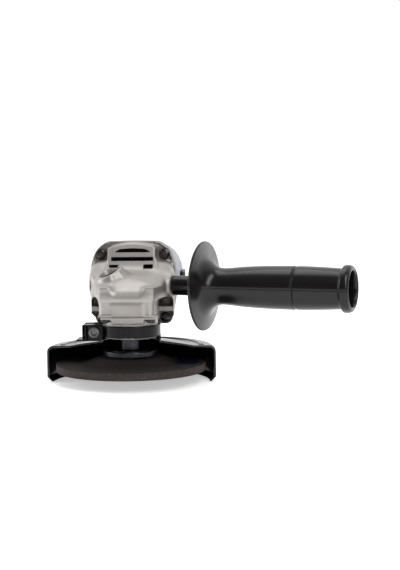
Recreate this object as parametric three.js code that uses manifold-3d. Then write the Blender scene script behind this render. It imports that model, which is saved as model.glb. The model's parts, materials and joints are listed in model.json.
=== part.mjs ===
// Compact 115 mm angle grinder with its guard, grinding disc and side handle.
// Units are millimetres, +Z is up. The origin is the centre of the spindle's end face.
// The spindle runs along +Z, the motor along +Y, and the side handle points towards +X.

import * as THREE from 'three';
import { mergeVertices } from 'three/addons/utils/BufferGeometryUtils.js';
import Module from 'manifold-3d';

const wasm = await Module();
wasm.setup();

// ---------------------------------------------------------------- driving dimensions

const GAP = 0.3;              // clearance kept between pieces that touch
const DEG = Math.PI / 180;

const MOTOR_Z = 64;           // motor axis above the spindle's end face
const FLANGE_Y = 30;          // joint plane between gear housing and motor housing

const GEAR_TEETH = 37;
const PINION_TEETH = 10;
const GEAR_PITCH_R = 16.65;
const TOOTH_FACE = 3.6;
const ADDENDUM = 0.6;
const DEDENDUM = 1.0;

const DISC_R = 57.5;
const DISC_TOP_Z = 5;
const DISC_THICKNESS = 6.5;
const DISC_HUB_RISE = 5;

const GUARD_R = 65.4;
const GUARD_SHEET = 1.8;
const GUARD_BOTTOM_Z = -10.3;
const GUARD_TOP_Z = 17.6;
const GUARD_BEND = 5;         // outer radius of the bend between top and skirt

const COLLAR_R = 21;
const COLLAR_BOTTOM_Z = 24.5;
const PLATE_BOTTOM_Z = 39.5;
const HEAD_BOTTOM_Z = 42.8;
const BAND_BOTTOM_Z = 25.8;
const BAND_TOP_Z = 34.6;
const BAND_R = 23.1;

const HANDLE_LEAN = 17.3 * DEG;
const HANDLE_FOOT = new THREE.Vector3(33, 5.5, 63.5);
const HANDLE_DISC_AT = 25.4;
const HANDLE_END_AT = 142.2;

const LOCK_LEAN = 27 * DEG;
const LOCK_MOUTH = new THREE.Vector3(-14.5, -8, 75);
const LOCK_PIN_R = 1.75;

// ---------------------------------------------------------------- materials

function finish(color, roughness, metalness) {
  return { color, roughness, metalness };
}

const CAST_ALUMINIUM = finish(0xb9b7b2, 0.45, 0.9);
const BLACK_PAINT = finish(0x0c0c0d, 0.25, 0.3);
const DARK_STEEL = finish(0x3a3a3d, 0.4, 0.9);
const BRIGHT_STEEL = finish(0x9a9a9c, 0.3, 1.0);
const BLACK_PLASTIC = finish(0x1b1a1d, 0.45, 0.0);
const HOUSING_PLASTIC = finish(0x9aa6b0, 0.5, 0.0);
const ABRASIVE = finish(0x4a403b, 0.95, 0.0);
const COPPER = finish(0xa85a2a, 0.4, 0.9);
const LAMINATION = finish(0x55565a, 0.5, 0.8);
const BRASS = finish(0xb08d45, 0.35, 0.9);
const CARBON = finish(0x1f1f1f, 0.8, 0.1);
const RUBBER = finish(0x18181a, 0.9, 0.0);
const WHITE_PLASTIC = finish(0xd6d4cc, 0.5, 0.0);

// ---------------------------------------------------------------- solids

function solidOf(geometry) {
  const bare = geometry.clone();
  bare.deleteAttribute('normal');
  bare.deleteAttribute('uv');
  const merged = mergeVertices(bare, 1e-4);
  const vertProperties = new Float32Array(merged.attributes.position.array);
  const corner = (index) => new THREE.Vector3().fromArray(vertProperties, 3 * index);
  const index = merged.index.array;
  const kept = [];
  let volume = 0;
  for (let i = 0; i < index.length; i += 3) {
    const [a, b, c] = [index[i], index[i + 1], index[i + 2]];
    if (a !== b && b !== c && c !== a) {
      kept.push(a, b, c);
      volume += corner(a).dot(corner(b).cross(corner(c)));
    }
  }
  if (volume < 0) {
    kept.reverse();
  }
  return new wasm.Manifold(new wasm.Mesh({ numProp: 3, vertProperties, triVerts: new Uint32Array(kept) }));
}

function geometryOf(solid) {
  const mesh = solid.getMesh();
  const geometry = new THREE.BufferGeometry();
  geometry.setAttribute('position', new THREE.BufferAttribute(new Float32Array(mesh.vertProperties), 3));
  geometry.setIndex(new THREE.BufferAttribute(new Uint32Array(mesh.triVerts), 1));
  geometry.computeVertexNormals();
  return geometry;
}

function join(first, ...others) {
  return others.reduce((sum, other) => sum.add(other), first);
}

function cut(first, ...others) {
  return others.reduce((rest, other) => rest.subtract(other), first);
}

// A closed profile of [radius, height] points turned about the Z axis.
function revolve(profile, segments = 22) {
  const points = [...profile, profile[0]].map(([r, z]) => new THREE.Vector2(r, z));
  return solidOf(new THREE.LatheGeometry(points, segments).rotateX(Math.PI / 2));
}

function disc(radius, bottom, top, segments = 16) {
  return revolve([[0, bottom], [radius, bottom], [radius, top], [0, top]], segments);
}

function ring(inner, outer, bottom, top, segments = 20) {
  return revolve([[inner, bottom], [outer, bottom], [outer, top], [inner, top]], segments);
}

function box(x0, x1, y0, y1, z0, z1) {
  const geometry = new THREE.BoxGeometry(x1 - x0, y1 - y0, z1 - z0);
  return solidOf(geometry.translate((x0 + x1) / 2, (y0 + y1) / 2, (z0 + z1) / 2));
}

// A flat shape in X and Y, thickened upwards from bottom to top.
function slab(shape, bottom, top, curveSegments = 3) {
  const options = { depth: top - bottom, bevelEnabled: false, curveSegments };
  return solidOf(new THREE.ExtrudeGeometry(shape, options).translate(0, 0, bottom));
}

// A flat shape in X and Z, thickened along Y from front to back.
function plate(shape, front, back, curveSegments = 3) {
  const options = { depth: back - front, bevelEnabled: false, curveSegments };
  const geometry = new THREE.ExtrudeGeometry(shape, options);
  return solidOf(geometry.rotateX(Math.PI / 2).translate(0, back, 0));
}

function roundedRectangle(x0, x1, y0, y1, radius) {
  const shape = new THREE.Shape();
  shape.absarc(x1 - radius, y1 - radius, radius, 0, 90 * DEG);
  shape.absarc(x0 + radius, y1 - radius, radius, 90 * DEG, 180 * DEG);
  shape.absarc(x0 + radius, y0 + radius, radius, 180 * DEG, 270 * DEG);
  shape.absarc(x1 - radius, y0 + radius, radius, 270 * DEG, 360 * DEG);
  shape.closePath();
  return shape;
}

// Part of a ring, from halfAngle before to halfAngle after the middle angle, all in degrees.
function arc(inner, outer, middle, halfAngle) {
  const [from, to] = [(middle - halfAngle) * DEG, (middle + halfAngle) * DEG];
  const shape = new THREE.Shape();
  shape.absarc(0, 0, outer, from, to, false);
  shape.absarc(0, 0, inner, to, from, true);
  shape.closePath();
  return shape;
}

// Stations along +Y, each a superellipse with its own half-width, bottom, top and squareness.
function loft(stations, segments = 24) {
  const geometry = new THREE.CylinderGeometry(1, 1, stations.length - 1, segments, stations.length - 1);
  const position = geometry.attributes.position;
  for (let i = 0; i < position.count; i += 1) {
    const station = stations[Math.round(position.getY(i) + (stations.length - 1) / 2)];
    const [y, halfWidth, bottom, top, power] = station;
    const [c, s] = [position.getX(i), position.getZ(i)];
    const bend = (v) => Math.sign(v) * Math.abs(v) ** (2 / power);
    const z = (bottom + top) / 2 + bend(s) * (top - bottom) / 2;
    position.setXYZ(i, halfWidth * bend(c), y, z);
  }
  return solidOf(geometry);
}

function grown(stations, amount) {
  return stations.map(([y, halfWidth, bottom, top, power]) =>
    [y, halfWidth + amount, bottom - amount, top + amount, power]);
}

// Placement: a turned piece made about +Z is laid along another axis.
function placed(solid, origin, direction) {
  const turn = new THREE.Quaternion().setFromUnitVectors(new THREE.Vector3(0, 0, 1), direction);
  const matrix = new THREE.Matrix4().compose(origin, turn, new THREE.Vector3(1, 1, 1));
  return solid.transform(matrix.elements);
}

const ALONG_Y = new THREE.Vector3(0, 1, 0);
const MOTOR_CENTRE = new THREE.Vector3(0, 0, MOTOR_Z);

// A piece turned about +Z at heights y becomes one on the motor axis at those distances along +Y.
function onMotorAxis(solid) {
  return placed(solid, MOTOR_CENTRE, ALONG_Y);
}

function around(count, angleOffset, make) {
  return Array.from({ length: count }, (_, i) => make((i * 360 / count) * DEG + angleOffset, i));
}

function turnedZ(solid, angle) {
  return solid.rotate([0, 0, angle / DEG]);
}

const model = new THREE.Group();

function add(name, solid, look) {
  const material = new THREE.MeshStandardMaterial(look);
  const mesh = new THREE.Mesh(geometryOf(solid), material);
  mesh.name = name;
  model.add(mesh);
}

// ---------------------------------------------------------------- bevel gears

// Pitch cones meet at the point where the spindle and motor axes cross.
const PITCH_ANGLE = Math.atan(GEAR_TEETH / PINION_TEETH);
const CONE_LENGTH = GEAR_PITCH_R / Math.sin(PITCH_ANGLE);
const INNER_SCALE = 1 - TOOTH_FACE / CONE_LENGTH;

// A point of the tooth outline: radius from the gear's axis and distance below the cones' meeting point.
function conePoint(pitchAngle, rise, scale) {
  const radius = CONE_LENGTH * Math.sin(pitchAngle) + rise * Math.cos(pitchAngle);
  const drop = CONE_LENGTH * Math.cos(pitchAngle) - rise * Math.sin(pitchAngle);
  return [radius * scale, drop * scale];
}

const TIP_SHARE = 0.13;       // half of a tooth's tip and of its base, as shares of the pitch
const BASE_SHARE = 0.26;
const TOOTH_SUNK = 0.3;       // how far a tooth's base reaches into the blank
const BLANK_MARGIN = 0.03;    // how far the blank runs past the teeth, as a share of the cone

// One tooth: a box whose corners are moved to the two ends of the tooth, its two flanks, tip and base.
function tooth(pitchAngle, teeth) {
  const geometry = new THREE.BoxGeometry(1, 1, 1);
  const position = geometry.attributes.position;
  for (let i = 0; i < position.count; i += 1) {
    const atTip = position.getZ(i) > 0;
    const rise = atTip ? ADDENDUM : -DEDENDUM - TOOTH_SUNK;
    const [radius, drop] = conePoint(pitchAngle, rise, position.getX(i) > 0 ? 1 : INNER_SCALE);
    const share = atTip ? TIP_SHARE : BASE_SHARE;
    const angle = 2 * position.getY(i) * share * 360 * DEG / teeth;
    position.setXYZ(i, radius * Math.cos(angle), radius * Math.sin(angle), -drop);
  }
  return solidOf(geometry);
}

function toothed(blank, pitchAngle, teeth, firstTooth) {
  const one = tooth(pitchAngle, teeth);
  return join(blank, ...around(teeth, firstTooth, (angle) => turnedZ(one, angle)));
}

const LOCK_AXIS = new THREE.Vector3(Math.sin(LOCK_LEAN), 0, -Math.cos(LOCK_LEAN));
const GEAR_WEB_Z = 59.2;
const LOCK_HOLE_DEPTH = 3.2;
const LOCK_HOLE_R = 3;
const LOCK_HOLES = 4;
const LOCK_PIN_REACH = (LOCK_MOUTH.z - GEAR_WEB_Z + 1) / Math.cos(LOCK_LEAN);
const LOCK_HOLE_PLACE = LOCK_MOUTH.clone().addScaledVector(LOCK_AXIS, LOCK_PIN_REACH);

function bevelGear() {
  const [rootR, rootDrop] = conePoint(PITCH_ANGLE, -DEDENDUM, 1 + BLANK_MARGIN);
  const [innerR, innerDrop] = conePoint(PITCH_ANGLE, -DEDENDUM, INNER_SCALE - BLANK_MARGIN);
  const webTop = GEAR_WEB_Z - MOTOR_Z;
  const blank = revolve([
    [5.8, -20.5], [9, -20.5], [9, -12.5], [rootR - 1.2, -8], [rootR, -rootDrop], [innerR, -innerDrop],
    [innerR, webTop], [5.8, webTop],
  ]);
  const gear = toothed(blank, PITCH_ANGLE, GEAR_TEETH, 90 * DEG).translate([0, 0, MOTOR_Z]);
  const radius = Math.hypot(LOCK_HOLE_PLACE.x, LOCK_HOLE_PLACE.y);
  const angle = Math.atan2(LOCK_HOLE_PLACE.y, LOCK_HOLE_PLACE.x);
  const hole = disc(LOCK_HOLE_R, GEAR_WEB_Z - LOCK_HOLE_DEPTH, GEAR_WEB_Z + 3, 12).translate([radius, 0, 0]);
  return cut(gear, ...around(LOCK_HOLES, angle, (turn) => turnedZ(hole, turn)));
}

// The pinion's tooth gap faces the gear tooth below it.
function bevelPinion() {
  const angle = 90 * DEG - PITCH_ANGLE;
  const [rootR, rootDrop] = conePoint(angle, -DEDENDUM, 1 + BLANK_MARGIN);
  const [innerR, innerDrop] = conePoint(angle, -DEDENDUM, INNER_SCALE - BLANK_MARGIN);
  const blank = revolve([[2.3, -rootDrop], [rootR, -rootDrop], [innerR, -innerDrop], [2.3, -innerDrop]], 12);
  const halfPitch = 180 * DEG / PINION_TEETH;
  const pinion = toothed(blank, angle, PINION_TEETH, 90 * DEG + halfPitch);
  return pinion.rotate([90, 0, 0]).translate([0, 0, MOTOR_Z]);
}

// ---------------------------------------------------------------- gear housing

const HEAD_HALF_WIDTH = 33.5;
const HEAD_TOP_Z = 96.5;
const FLANGE_BOTTOM_Z = 32;
const FLANGE_THICKNESS = 6.4;
const BLOCK_HALF_WIDTH = 21;
const BLOCK_FRONT_Y = -31;
const SCREW_X = 25;
const SCREW_HIGH_Z = 87;
const SCREW_LOW_Z = 37.2;
const SCREW_SEAT_Y = 24;
const SCREW_PLACES = [
  [-SCREW_X, SCREW_HIGH_Z], [SCREW_X, SCREW_HIGH_Z], [SCREW_X, SCREW_LOW_Z], [-SCREW_X, SCREW_LOW_Z],
];

function flangeOutline(inset = 0) {
  const shape = new THREE.Shape();
  const w = HEAD_HALF_WIDTH - inset;
  shape.moveTo(-20, HEAD_TOP_Z - inset);
  shape.lineTo(18.5, HEAD_TOP_Z - inset);
  shape.quadraticCurveTo(30 - inset, 92 - inset, w - 1.2, 80);
  shape.quadraticCurveTo(w, 74, w, 66);
  shape.lineTo(w - 0.6, 52);
  shape.quadraticCurveTo(w - 1.4, 42, 29.5 - inset, 34.5 + inset);
  shape.quadraticCurveTo(28.5 - inset, FLANGE_BOTTOM_Z + inset, 25, FLANGE_BOTTOM_Z + inset);
  shape.lineTo(-25, FLANGE_BOTTOM_Z + inset);
  shape.quadraticCurveTo(-28.5 + inset, FLANGE_BOTTOM_Z + inset, -29.5 + inset, 34.5 + inset);
  shape.quadraticCurveTo(-w + 1.4, 42, -w + 0.6, 52);
  shape.lineTo(-w, 66);
  shape.quadraticCurveTo(-w, 74, -w + 1.2, 80);
  shape.quadraticCurveTo(-30 + inset, 92 - inset, -20, HEAD_TOP_Z - inset);
  return shape;
}

function arch(halfWidth, bottom, springing, crown) {
  const shape = new THREE.Shape();
  shape.moveTo(-halfWidth, bottom);
  shape.lineTo(halfWidth, bottom);
  shape.lineTo(halfWidth, springing);
  shape.quadraticCurveTo(0, 2 * crown - springing, -halfWidth, springing);
  shape.closePath();
  return shape;
}

function handleDirection(side) {
  return new THREE.Vector3(side * Math.cos(HANDLE_LEAN), -Math.sin(HANDLE_LEAN), 0);
}

function handleFoot(side) {
  return new THREE.Vector3(side * HANDLE_FOOT.x, HANDLE_FOOT.y, HANDLE_FOOT.z);
}

const HANDLE_BOSSES = [
  { side: 1, face: 0.6 },
  { side: -1, face: -2.5 },
];

function housingOutside() {
  const front = plate(flangeOutline(), FLANGE_Y - FLANGE_THICKNESS, FLANGE_Y);
  const block = slab(roundedRectangle(-BLOCK_HALF_WIDTH, BLOCK_HALF_WIDTH, BLOCK_FRONT_Y, 26, 6),
    HEAD_BOTTOM_Z, 60.5);
  const crown = loft([
    [BLOCK_FRONT_Y + 0.6, 19.5, 50, 61.5, 3.2], [-24, 22, 51, 65.5, 3], [-12, 25.4, 53, 70, 2.8],
    [2, 29.4, 51, 75.5, 3.1], [13, 32.4, 47, 83, 3.8], [25, 33.3, 45, 84, 4],
  ], 24);
  const slotWall = plate(arch(20.5, 60, 92, 95.8), 12, FLANGE_Y - 1, 6);
  const shoulders = HANDLE_BOSSES.map(({ side, face }) => {
    const cone = revolve([[0, -22], [12.5, -22], [9.3, face], [0, face]], 20);
    return placed(cone, handleFoot(side), handleDirection(side));
  });
  const lockBoss = placed(revolve([[0, 0], [10.4, 0], [11.4, 12], [0, 12]], 20), LOCK_MOUTH, LOCK_AXIS);
  const cheeks = [-1, 1].map((side) => {
    const [a, b] = [side * 21.3, side * 33].sort((p, q) => p - q);
    return plate(roundedRectangle(a, b, 36, 62, 4.5), 10, 26);
  });
  return join(block, crown, front, slotWall, ...shoulders, lockBoss, ...cheeks);
}

// Each flange screw sits in a pocket: the upper ones are open corners, the lower ones tall arches.
function screwRecesses() {
  const high = [[-45, -18.3], [18.9, 45]].map(([x0, x1]) =>
    plate(roundedRectangle(x0, x1, 81.6, 110, 5), -10, SCREW_SEAT_Y, 4));
  const low = [[-31.4, -20.8], [20.8, 31.4]].map(([x0, x1]) =>
    plate(roundedRectangle(x0, x1, SCREW_LOW_Z - 4.2, 57, 4.5), 0, SCREW_SEAT_Y));
  const holes = SCREW_PLACES.map(([x, z]) =>
    disc(2.4, 0, FLANGE_Y + 5, 10).rotate([-90, 0, 0]).translate([x, 0, z]));
  return [...high, ...low, ...holes];
}

const SLOT_ROWS = [
  { left: -12.7, right: 14.9, bottom: 88.6, top: 92, arched: true },
  { left: -15.4, right: 17.3, bottom: 82.6, top: 85, arched: false },
  { left: 9.9, right: 17.2, bottom: 76.5, top: 79.6, arched: false },
  { left: -16.5, right: -8.5, bottom: 77.2, top: 79.6, arched: false },
];

function slotCutter({ left, right, bottom, top, arched }) {
  if (!arched) {
    return box(left, right, 0, 16, bottom, top);
  }
  const shape = new THREE.Shape();
  shape.moveTo(left, bottom);
  shape.lineTo(right, bottom);
  shape.quadraticCurveTo(right - 2, top, right - 7, top);
  shape.lineTo(left + 7, top);
  shape.quadraticCurveTo(left + 2, top, left, bottom);
  return plate(shape, 0, 16);
}

const BEARING_BOX_SCREWS = [[-1, -1], [1, -1], [1, 1], [-1, 1]].map(([i, j]) => [i * 17.2, j * 17.6]);

function gearHousing() {
  const chamber = revolve([
    [0, HEAD_BOTTOM_Z - 1], [19.4, HEAD_BOTTOM_Z - 1], [19.4, 46.2], [18.3, 46.2], [18.3, 62.5],
    [5.4, 62.5], [5.4, 63.2], [6.5, 63.2], [6.5, 69.6], [0, 69.6],
  ], 28);
  const pinionPassage = onMotorAxis(disc(7.5, 9, 18, 16));
  const bearingPocket = onMotorAxis(disc(11.3, 17.5, FLANGE_Y + 1, 24));
  const ductOutside = plate(arch(17.5, 75.8, 88.5, 93.4), 14, FLANGE_Y + 1, 6);
  const duct = cut(ductOutside, onMotorAxis(disc(13.3, 10, 35, 24)));
  const recess = revolve([
    [0, -6], [8.3, -6], [8.3, 7], [3.3, 7], [3.3, 11.6], [2.1, 11.6], [2.1, 15], [0, 15],
  ], 20);
  const sockets = HANDLE_BOSSES.map(({ side }) =>
    placed(disc(4.2, -15, 4, 16), handleFoot(side), handleDirection(side)));
  const thread = disc(1.9, HEAD_BOTTOM_Z - 1, 53, 10);
  const threads = BEARING_BOX_SCREWS.map(([x, y]) => thread.translate([x, y, 0]));
  return cut(housingOutside(), chamber, pinionPassage, bearingPocket, duct,
    placed(recess, LOCK_MOUTH, LOCK_AXIS), ...sockets, ...threads, ...screwRecesses(),
    ...SLOT_ROWS.map(slotCutter));
}

// ---------------------------------------------------------------- bearing box, spindle and disc

function bearingBox() {
  const body = join(
    slab(roundedRectangle(-20.6, 20.6, -21.4, 21.4, 5), PLATE_BOTTOM_Z, HEAD_BOTTOM_Z - GAP),
    disc(19, 40, 46, 28),
    disc(COLLAR_R, COLLAR_BOTTOM_Z, PLATE_BOTTOM_Z + 0.5, 36),
    slab(roundedRectangle(-12.4, 12.4, -21.4, 21.4, 2), PLATE_BOTTOM_Z - 3, PLATE_BOTTOM_Z + 0.5, 2),
    slab(roundedRectangle(-20.6, 20.6, -12.6, 12.6, 2), PLATE_BOTTOM_Z - 3, PLATE_BOTTOM_Z + 0.5, 2),
  );
  const inside = revolve([
    [0, 20], [8.3, 20], [8.3, 26], [11.3, 26], [11.3, 28.8], [16.2, 28.8], [16.2, 50], [0, 50],
  ], 24);
  const notch = box(-4.5, 4.5, -COLLAR_R - 1, -COLLAR_R + 1.6, COLLAR_BOTTOM_Z - 1, BAND_TOP_Z - 3);
  const holes = BEARING_BOX_SCREWS.map(([x, y]) => disc(2.2, 30, 50, 10).translate([x, y, 0]));
  return cut(body, inside, notch, ...holes);
}

function panHeadScrew(shankR, shankLength, headR, headHeight) {
  const body = revolve([
    [0, -shankLength], [shankR, -shankLength], [shankR, 0], [headR, 0], [headR, headHeight * 0.6],
    [headR * 0.7, headHeight], [0, headHeight],
  ], 10);
  return cut(body, box(-headR * 0.6, headR * 0.6, -0.4, 0.4, headHeight * 0.4, headHeight + 1));
}

function spindle() {
  const shaft = revolve([
    [0, 0], [6.2, 0], [7, 1], [7, 15], [7.65, 15], [7.65, 28.4], [5.9, 28.4], [5.9, 42],
    [5.4, 42], [5.4, 60], [4, 60], [4, 69], [0, 69],
  ], 24);
  const keyFlat = box(6.4, 10, -8, 8, 5.2, 14.7);
  return cut(shaft, keyFlat, keyFlat.rotate([0, 0, 180]));
}

function innerFlange() {
  const bottom = DISC_TOP_Z + DISC_HUB_RISE + GAP;
  const body = revolve([
    [7.4, 6.5], [10.5, 6.5], [10.5, bottom], [20.2, bottom], [21, bottom + 0.8], [21, 14],
    [20.2, 14.6], [7.4, 14.6],
  ], 32);
  const notch = box(-0.7, 0.7, -22, -19.4, bottom - 1, 16);
  return cut(body, notch, notch.rotate([0, 0, 180]));
}

function grindingDisc() {
  const top = DISC_TOP_Z;
  const rise = DISC_HUB_RISE;
  const low = top - DISC_THICKNESS;
  return revolve([
    [12.2, top + rise - DISC_THICKNESS], [20.6, top + rise - DISC_THICKNESS], [29, low], [DISC_R, low],
    [DISC_R, top], [36.5, top], [33, top + 1.2],
    [26, top + rise - 0.8], [24, top + rise], [12.2, top + rise],
  ], 36);
}

function lockNut() {
  const top = DISC_TOP_Z + DISC_HUB_RISE - DISC_THICKNESS - GAP;
  const body = ring(7.4, 18.6, -1.2, top, 28);
  const pinHole = disc(2.4, -3, 1.6, 10).translate([14.4, 0, 0]);
  return cut(body, ...around(4, 45 * DEG, (angle) => turnedZ(pinHole, angle)));
}

// ---------------------------------------------------------------- guard

function guardShell() {
  const r = GUARD_R;
  const t = GUARD_SHEET;
  const skirt = [[r - 5.4, GUARD_BOTTOM_Z], [r - 3.6, GUARD_BOTTOM_Z], [r, GUARD_BOTTOM_Z + 3.4]];
  const corner = (bend, angle) =>
    [r - GUARD_BEND + bend * Math.cos(angle), GUARD_TOP_Z - GUARD_BEND + bend * Math.sin(angle)];
  const outerCorner = [0, 45, 90].map((angle) => corner(GUARD_BEND, angle * DEG));
  const innerCorner = [90, 45, 0].map((angle) => corner(GUARD_BEND - t, angle * DEG));
  const profile = [
    ...skirt, ...outerCorner, [48, GUARD_TOP_Z], [39, 19.2], [30, 20.3], [21.6, 21.4],
    [21.6, 21.4 - t], [30, 20.3 - t], [39, 19.2 - t], [48, GUARD_TOP_Z - t],
    ...innerCorner, [r - t, GUARD_BOTTOM_Z + 4.1],
  ];
  const half = revolve(profile, 36).intersect(box(-70, 70, 0, 70, -20, 30));
  return join(half, ring(21.6, 25.5, 19.6, 21.2, 40));
}

const CLAMP_X = -26.3;
const CLAMP_Z = 29.6;

function guardBand() {
  const hoop = ring(COLLAR_R + GAP, BAND_R, BAND_BOTTOM_Z, BAND_TOP_Z, 36);
  const foot = ring(COLLAR_R + GAP, BAND_R, 21.5, BAND_BOTTOM_Z + 0.2, 36)
    .intersect(box(-30, 30, 2, 30, 0, 40));
  const ears = [[-12, -3.4], [1, 7.5]].map(([y0, y1]) => box(-36, -20.5, y0, y1, 22.7, 35.4));
  const tab = box(-41, -21.5, -11, 6, 22.7, 23.7);
  const split = box(-37, -18, -3.4, 1, 23.7, 40);
  const bolt = disc(2.6, -20, 20, 16).rotate([90, 0, 0]).translate([CLAMP_X, 0, CLAMP_Z]);
  const nutPocket = box(CLAMP_X - 4.2, CLAMP_X + 4.2, 4, 8, CLAMP_Z - 4.2, CLAMP_Z + 4.2);
  const inside = disc(COLLAR_R + GAP, 10, 40, 36);
  return cut(join(hoop, foot, ...ears, tab), split, inside, bolt, nutPocket);
}

// ---------------------------------------------------------------- motor housing

const BARREL = [
  [FLANGE_Y + GAP, 33.2, 32.3, 96.2, 3], [44, 33, 34, 95.6, 2.8], [62, 32, 34.5, 93.5, 2.5],
  [100, 31, 36.5, 91.5, 2.4], [150, 29.2, 38.5, 89.5, 2.3], [184, 27, 37, 85, 2.3],
];
const TAIL = [
  [184 + GAP, 27, 37, 85, 2.3], [198, 26.2, 36, 82.5, 2.3], [209, 25, 36.4, 80, 2.3],
  [213, 22.5, 38.6, 77.5, 2.3],
];
const WALL = 2.4;
const COLLAR_BACK_Y = 40;
const BOSS_BACK_Y = 50;
const BRUSH_Y = 150;
const COVER_SCREW_Y = 192;
const COVER_SCREW_SEAT_Z = 80.6;

// The room inside the barrel, open at both ends.
function barrelRoom(margin = 0) {
  const [front, , shoulder, , waist, back] = BARREL;
  const stations = [[FLANGE_Y - 5, ...front.slice(1)], shoulder, waist, [190, ...back.slice(1)]];
  return loft(grown(stations, -WALL - margin));
}

function screwBosses(radius) {
  return SCREW_PLACES.map(([x, z]) =>
    disc(radius, FLANGE_Y + GAP, BOSS_BACK_Y, 14).rotate([-90, 0, 0]).translate([x, 0, z]));
}

function rearBearingWall() {
  const wall = loft(grown(BARREL, -1)).intersect(box(-40, 40, 172, 180, 0, 120));
  const passages = [
    box(12.8, 19, 165, 185, 57, 70), box(-19, -12.8, 165, 185, 50, 76), box(-9, 9, 165, 185, 42, 51),
  ];
  const tongue = box(-6, 6, 176, 198, 71, 75.6);
  return cut(join(wall, tongue), onMotorAxis(disc(10.4, 165, 177, 28)), onMotorAxis(disc(5, 170, 185, 20)),
    disc(1.9, 65, 80, 12).translate([0, COVER_SCREW_Y, 0]), ...passages);
}

function motorHousing() {
  const shell = cut(loft(BARREL), barrelRoom());
  const collar = cut(plate(flangeOutline(0.3), FLANGE_Y + GAP, COLLAR_BACK_Y), barrelRoom());
  const bosses = screwBosses(5).map((boss) => boss.intersect(plate(flangeOutline(0.3), FLANGE_Y, 52)));
  const switchPad = cut(plate(roundedRectangle(24, 33.6, 56, 72, 3), 54, 98), loft(grown(BARREL, -1.5)));
  const switchSlot = box(20, 40, 65.5, 86, 60.4, 67.6);
  const screwHoles = SCREW_PLACES.map(([x, z]) =>
    disc(1.9, 20, 48, 10).rotate([-90, 0, 0]).translate([x, 0, z]));
  const brushHoles = [-1, 1].map((side) => onBrushAxis(disc(6.3, 12, 45, 20), side));
  const vents = [-1, 1].flatMap((side) => [0, 1, 2, 3].map((i) =>
    box(side * 30 - 8, side * 30 + 8, 158 + i * 4, 160 + i * 4, 52, 70)));
  return cut(join(shell, collar, ...bosses, rearBearingWall(), switchPad),
    switchSlot, ...screwHoles, ...brushHoles, ...vents);
}

// The air baffle round the fan fills the barrel's section and clears the screw bosses.
function bafflePlate() {
  const sheet = barrelRoom(GAP).intersect(box(-40, 40, 45, 46.5, 20, 110));
  return cut(sheet, onMotorAxis(disc(19, 40, 50, 28)), ...screwBosses(5 + GAP));
}

const CORD_HOLE_R = 4.6;
const CORD_HOLE_Z = 56;

function rearCover() {
  const [front, ...others] = grown(TAIL, -WALL);
  const inside = loft([[180, ...front.slice(1)], ...others.map(([y, ...section]) => [y - 2, ...section])]);
  const gland = disc(8, 206, 214.5, 20).rotate([-90, 0, 0]).translate([0, 0, CORD_HOLE_Z]);
  const cordHole = disc(CORD_HOLE_R, 180, 220, 20).rotate([-90, 0, 0]).translate([0, 0, CORD_HOLE_Z]);
  const vents = [-1, 1].flatMap((side) => [0, 1, 2].map((i) =>
    box(side * 27 - 8, side * 27 + 8, 189 + i * 4.4, 191 + i * 4.4, 50, 68)));
  const boss = disc(5.5, 76, 83, 16).translate([0, COVER_SCREW_Y, 0]);
  const screwSeat = disc(3.7, COVER_SCREW_SEAT_Z, 100, 16).translate([0, COVER_SCREW_Y, 0]);
  const screwHole = disc(1.9, 75, 100, 12).translate([0, COVER_SCREW_Y, 0]);
  return cut(join(cut(join(loft(TAIL), gland), inside, cordHole, ...vents), boss), screwSeat, screwHole);
}

// ---------------------------------------------------------------- motor

function fan() {
  const hub = ring(4.5, 9, 33, 43, 20);
  const backplate = ring(8.5, 25.5, 41.5, 43, 33);
  const blades = around(11, 0, (angle) => turnedZ(box(8.5, 25, -0.6, 0.6, 34.2, 42), angle));
  return onMotorAxis(join(hub, backplate, ...blades));
}

function armatureShaft() {
  return onMotorAxis(revolve([
    [0, 12.6], [2, 12.6], [2, 17.8], [3.9, 17.8], [3.9, 27.6], [4.2, 27.6], [4.2, 171.6],
    [3.2, 171.6], [3.2, 178], [0, 178],
  ], 16));
}

function armatureCore() {
  const core = ring(4.5, 17, 74, 114, 24);
  const slots = around(12, 15 * DEG, (angle) => turnedZ(box(12, 20, -0.8, 0.8, 70, 120), angle));
  return onMotorAxis(cut(core, ...slots));
}

function winding(start, end) {
  const middle = (start + end) / 2;
  return onMotorAxis(revolve([[4.6, start], [13.5, start], [15.8, middle], [13.5, end], [4.6, end]], 20));
}

function commutator() {
  const body = ring(4.5, 10.6, 138, 162, 24);
  const grooves = around(12, 0, (angle) => turnedZ(box(9.6, 12, -0.25, 0.25, 141, 170), angle));
  return onMotorAxis(cut(body, ...grooves));
}

const COIL_HALF_ANGLE = 68;
const POLE_HALF_ANGLE = 42;

function stator() {
  const body = disc(24, 70, 118, 32).intersect(box(-22.4, 22.4, -24, 24, 60, 130));
  const bore = disc(17.8, 60, 130, 28);
  const coilRooms = [90, 270].map((side) => slab(arc(17, 21.6, side, COIL_HALF_ANGLE + 2), 60, 130, 8));
  const poles = [90, 270].map((side) => slab(arc(18, 22, side, POLE_HALF_ANGLE), 70, 118, 6));
  return onMotorAxis(join(cut(body, bore, ...coilRooms), ...poles));
}

function fieldCoil(side) {
  const outside = slab(arc(18, 21.2, side, COIL_HALF_ANGLE), 63, 125, 9);
  const window = slab(arc(15, 25, side, POLE_HALF_ANGLE + 2), 69.5, 118.5, 6);
  return onMotorAxis(cut(outside, window));
}

function onBrushAxis(solid, side) {
  return solid.rotate([side > 0 ? 0 : 180, 0, 0]).translate([0, BRUSH_Y, MOTOR_Z]);
}

function brushHolder(side) {
  const tube = cut(box(-4.4, 4.4, -5.6, 5.6, 12, 18.6), box(-2.9, 2.9, -4.1, 4.1, 0, 40));
  return onBrushAxis(tube, side);
}

// ---------------------------------------------------------------- switch

const ROD_X = 23.2;

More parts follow.
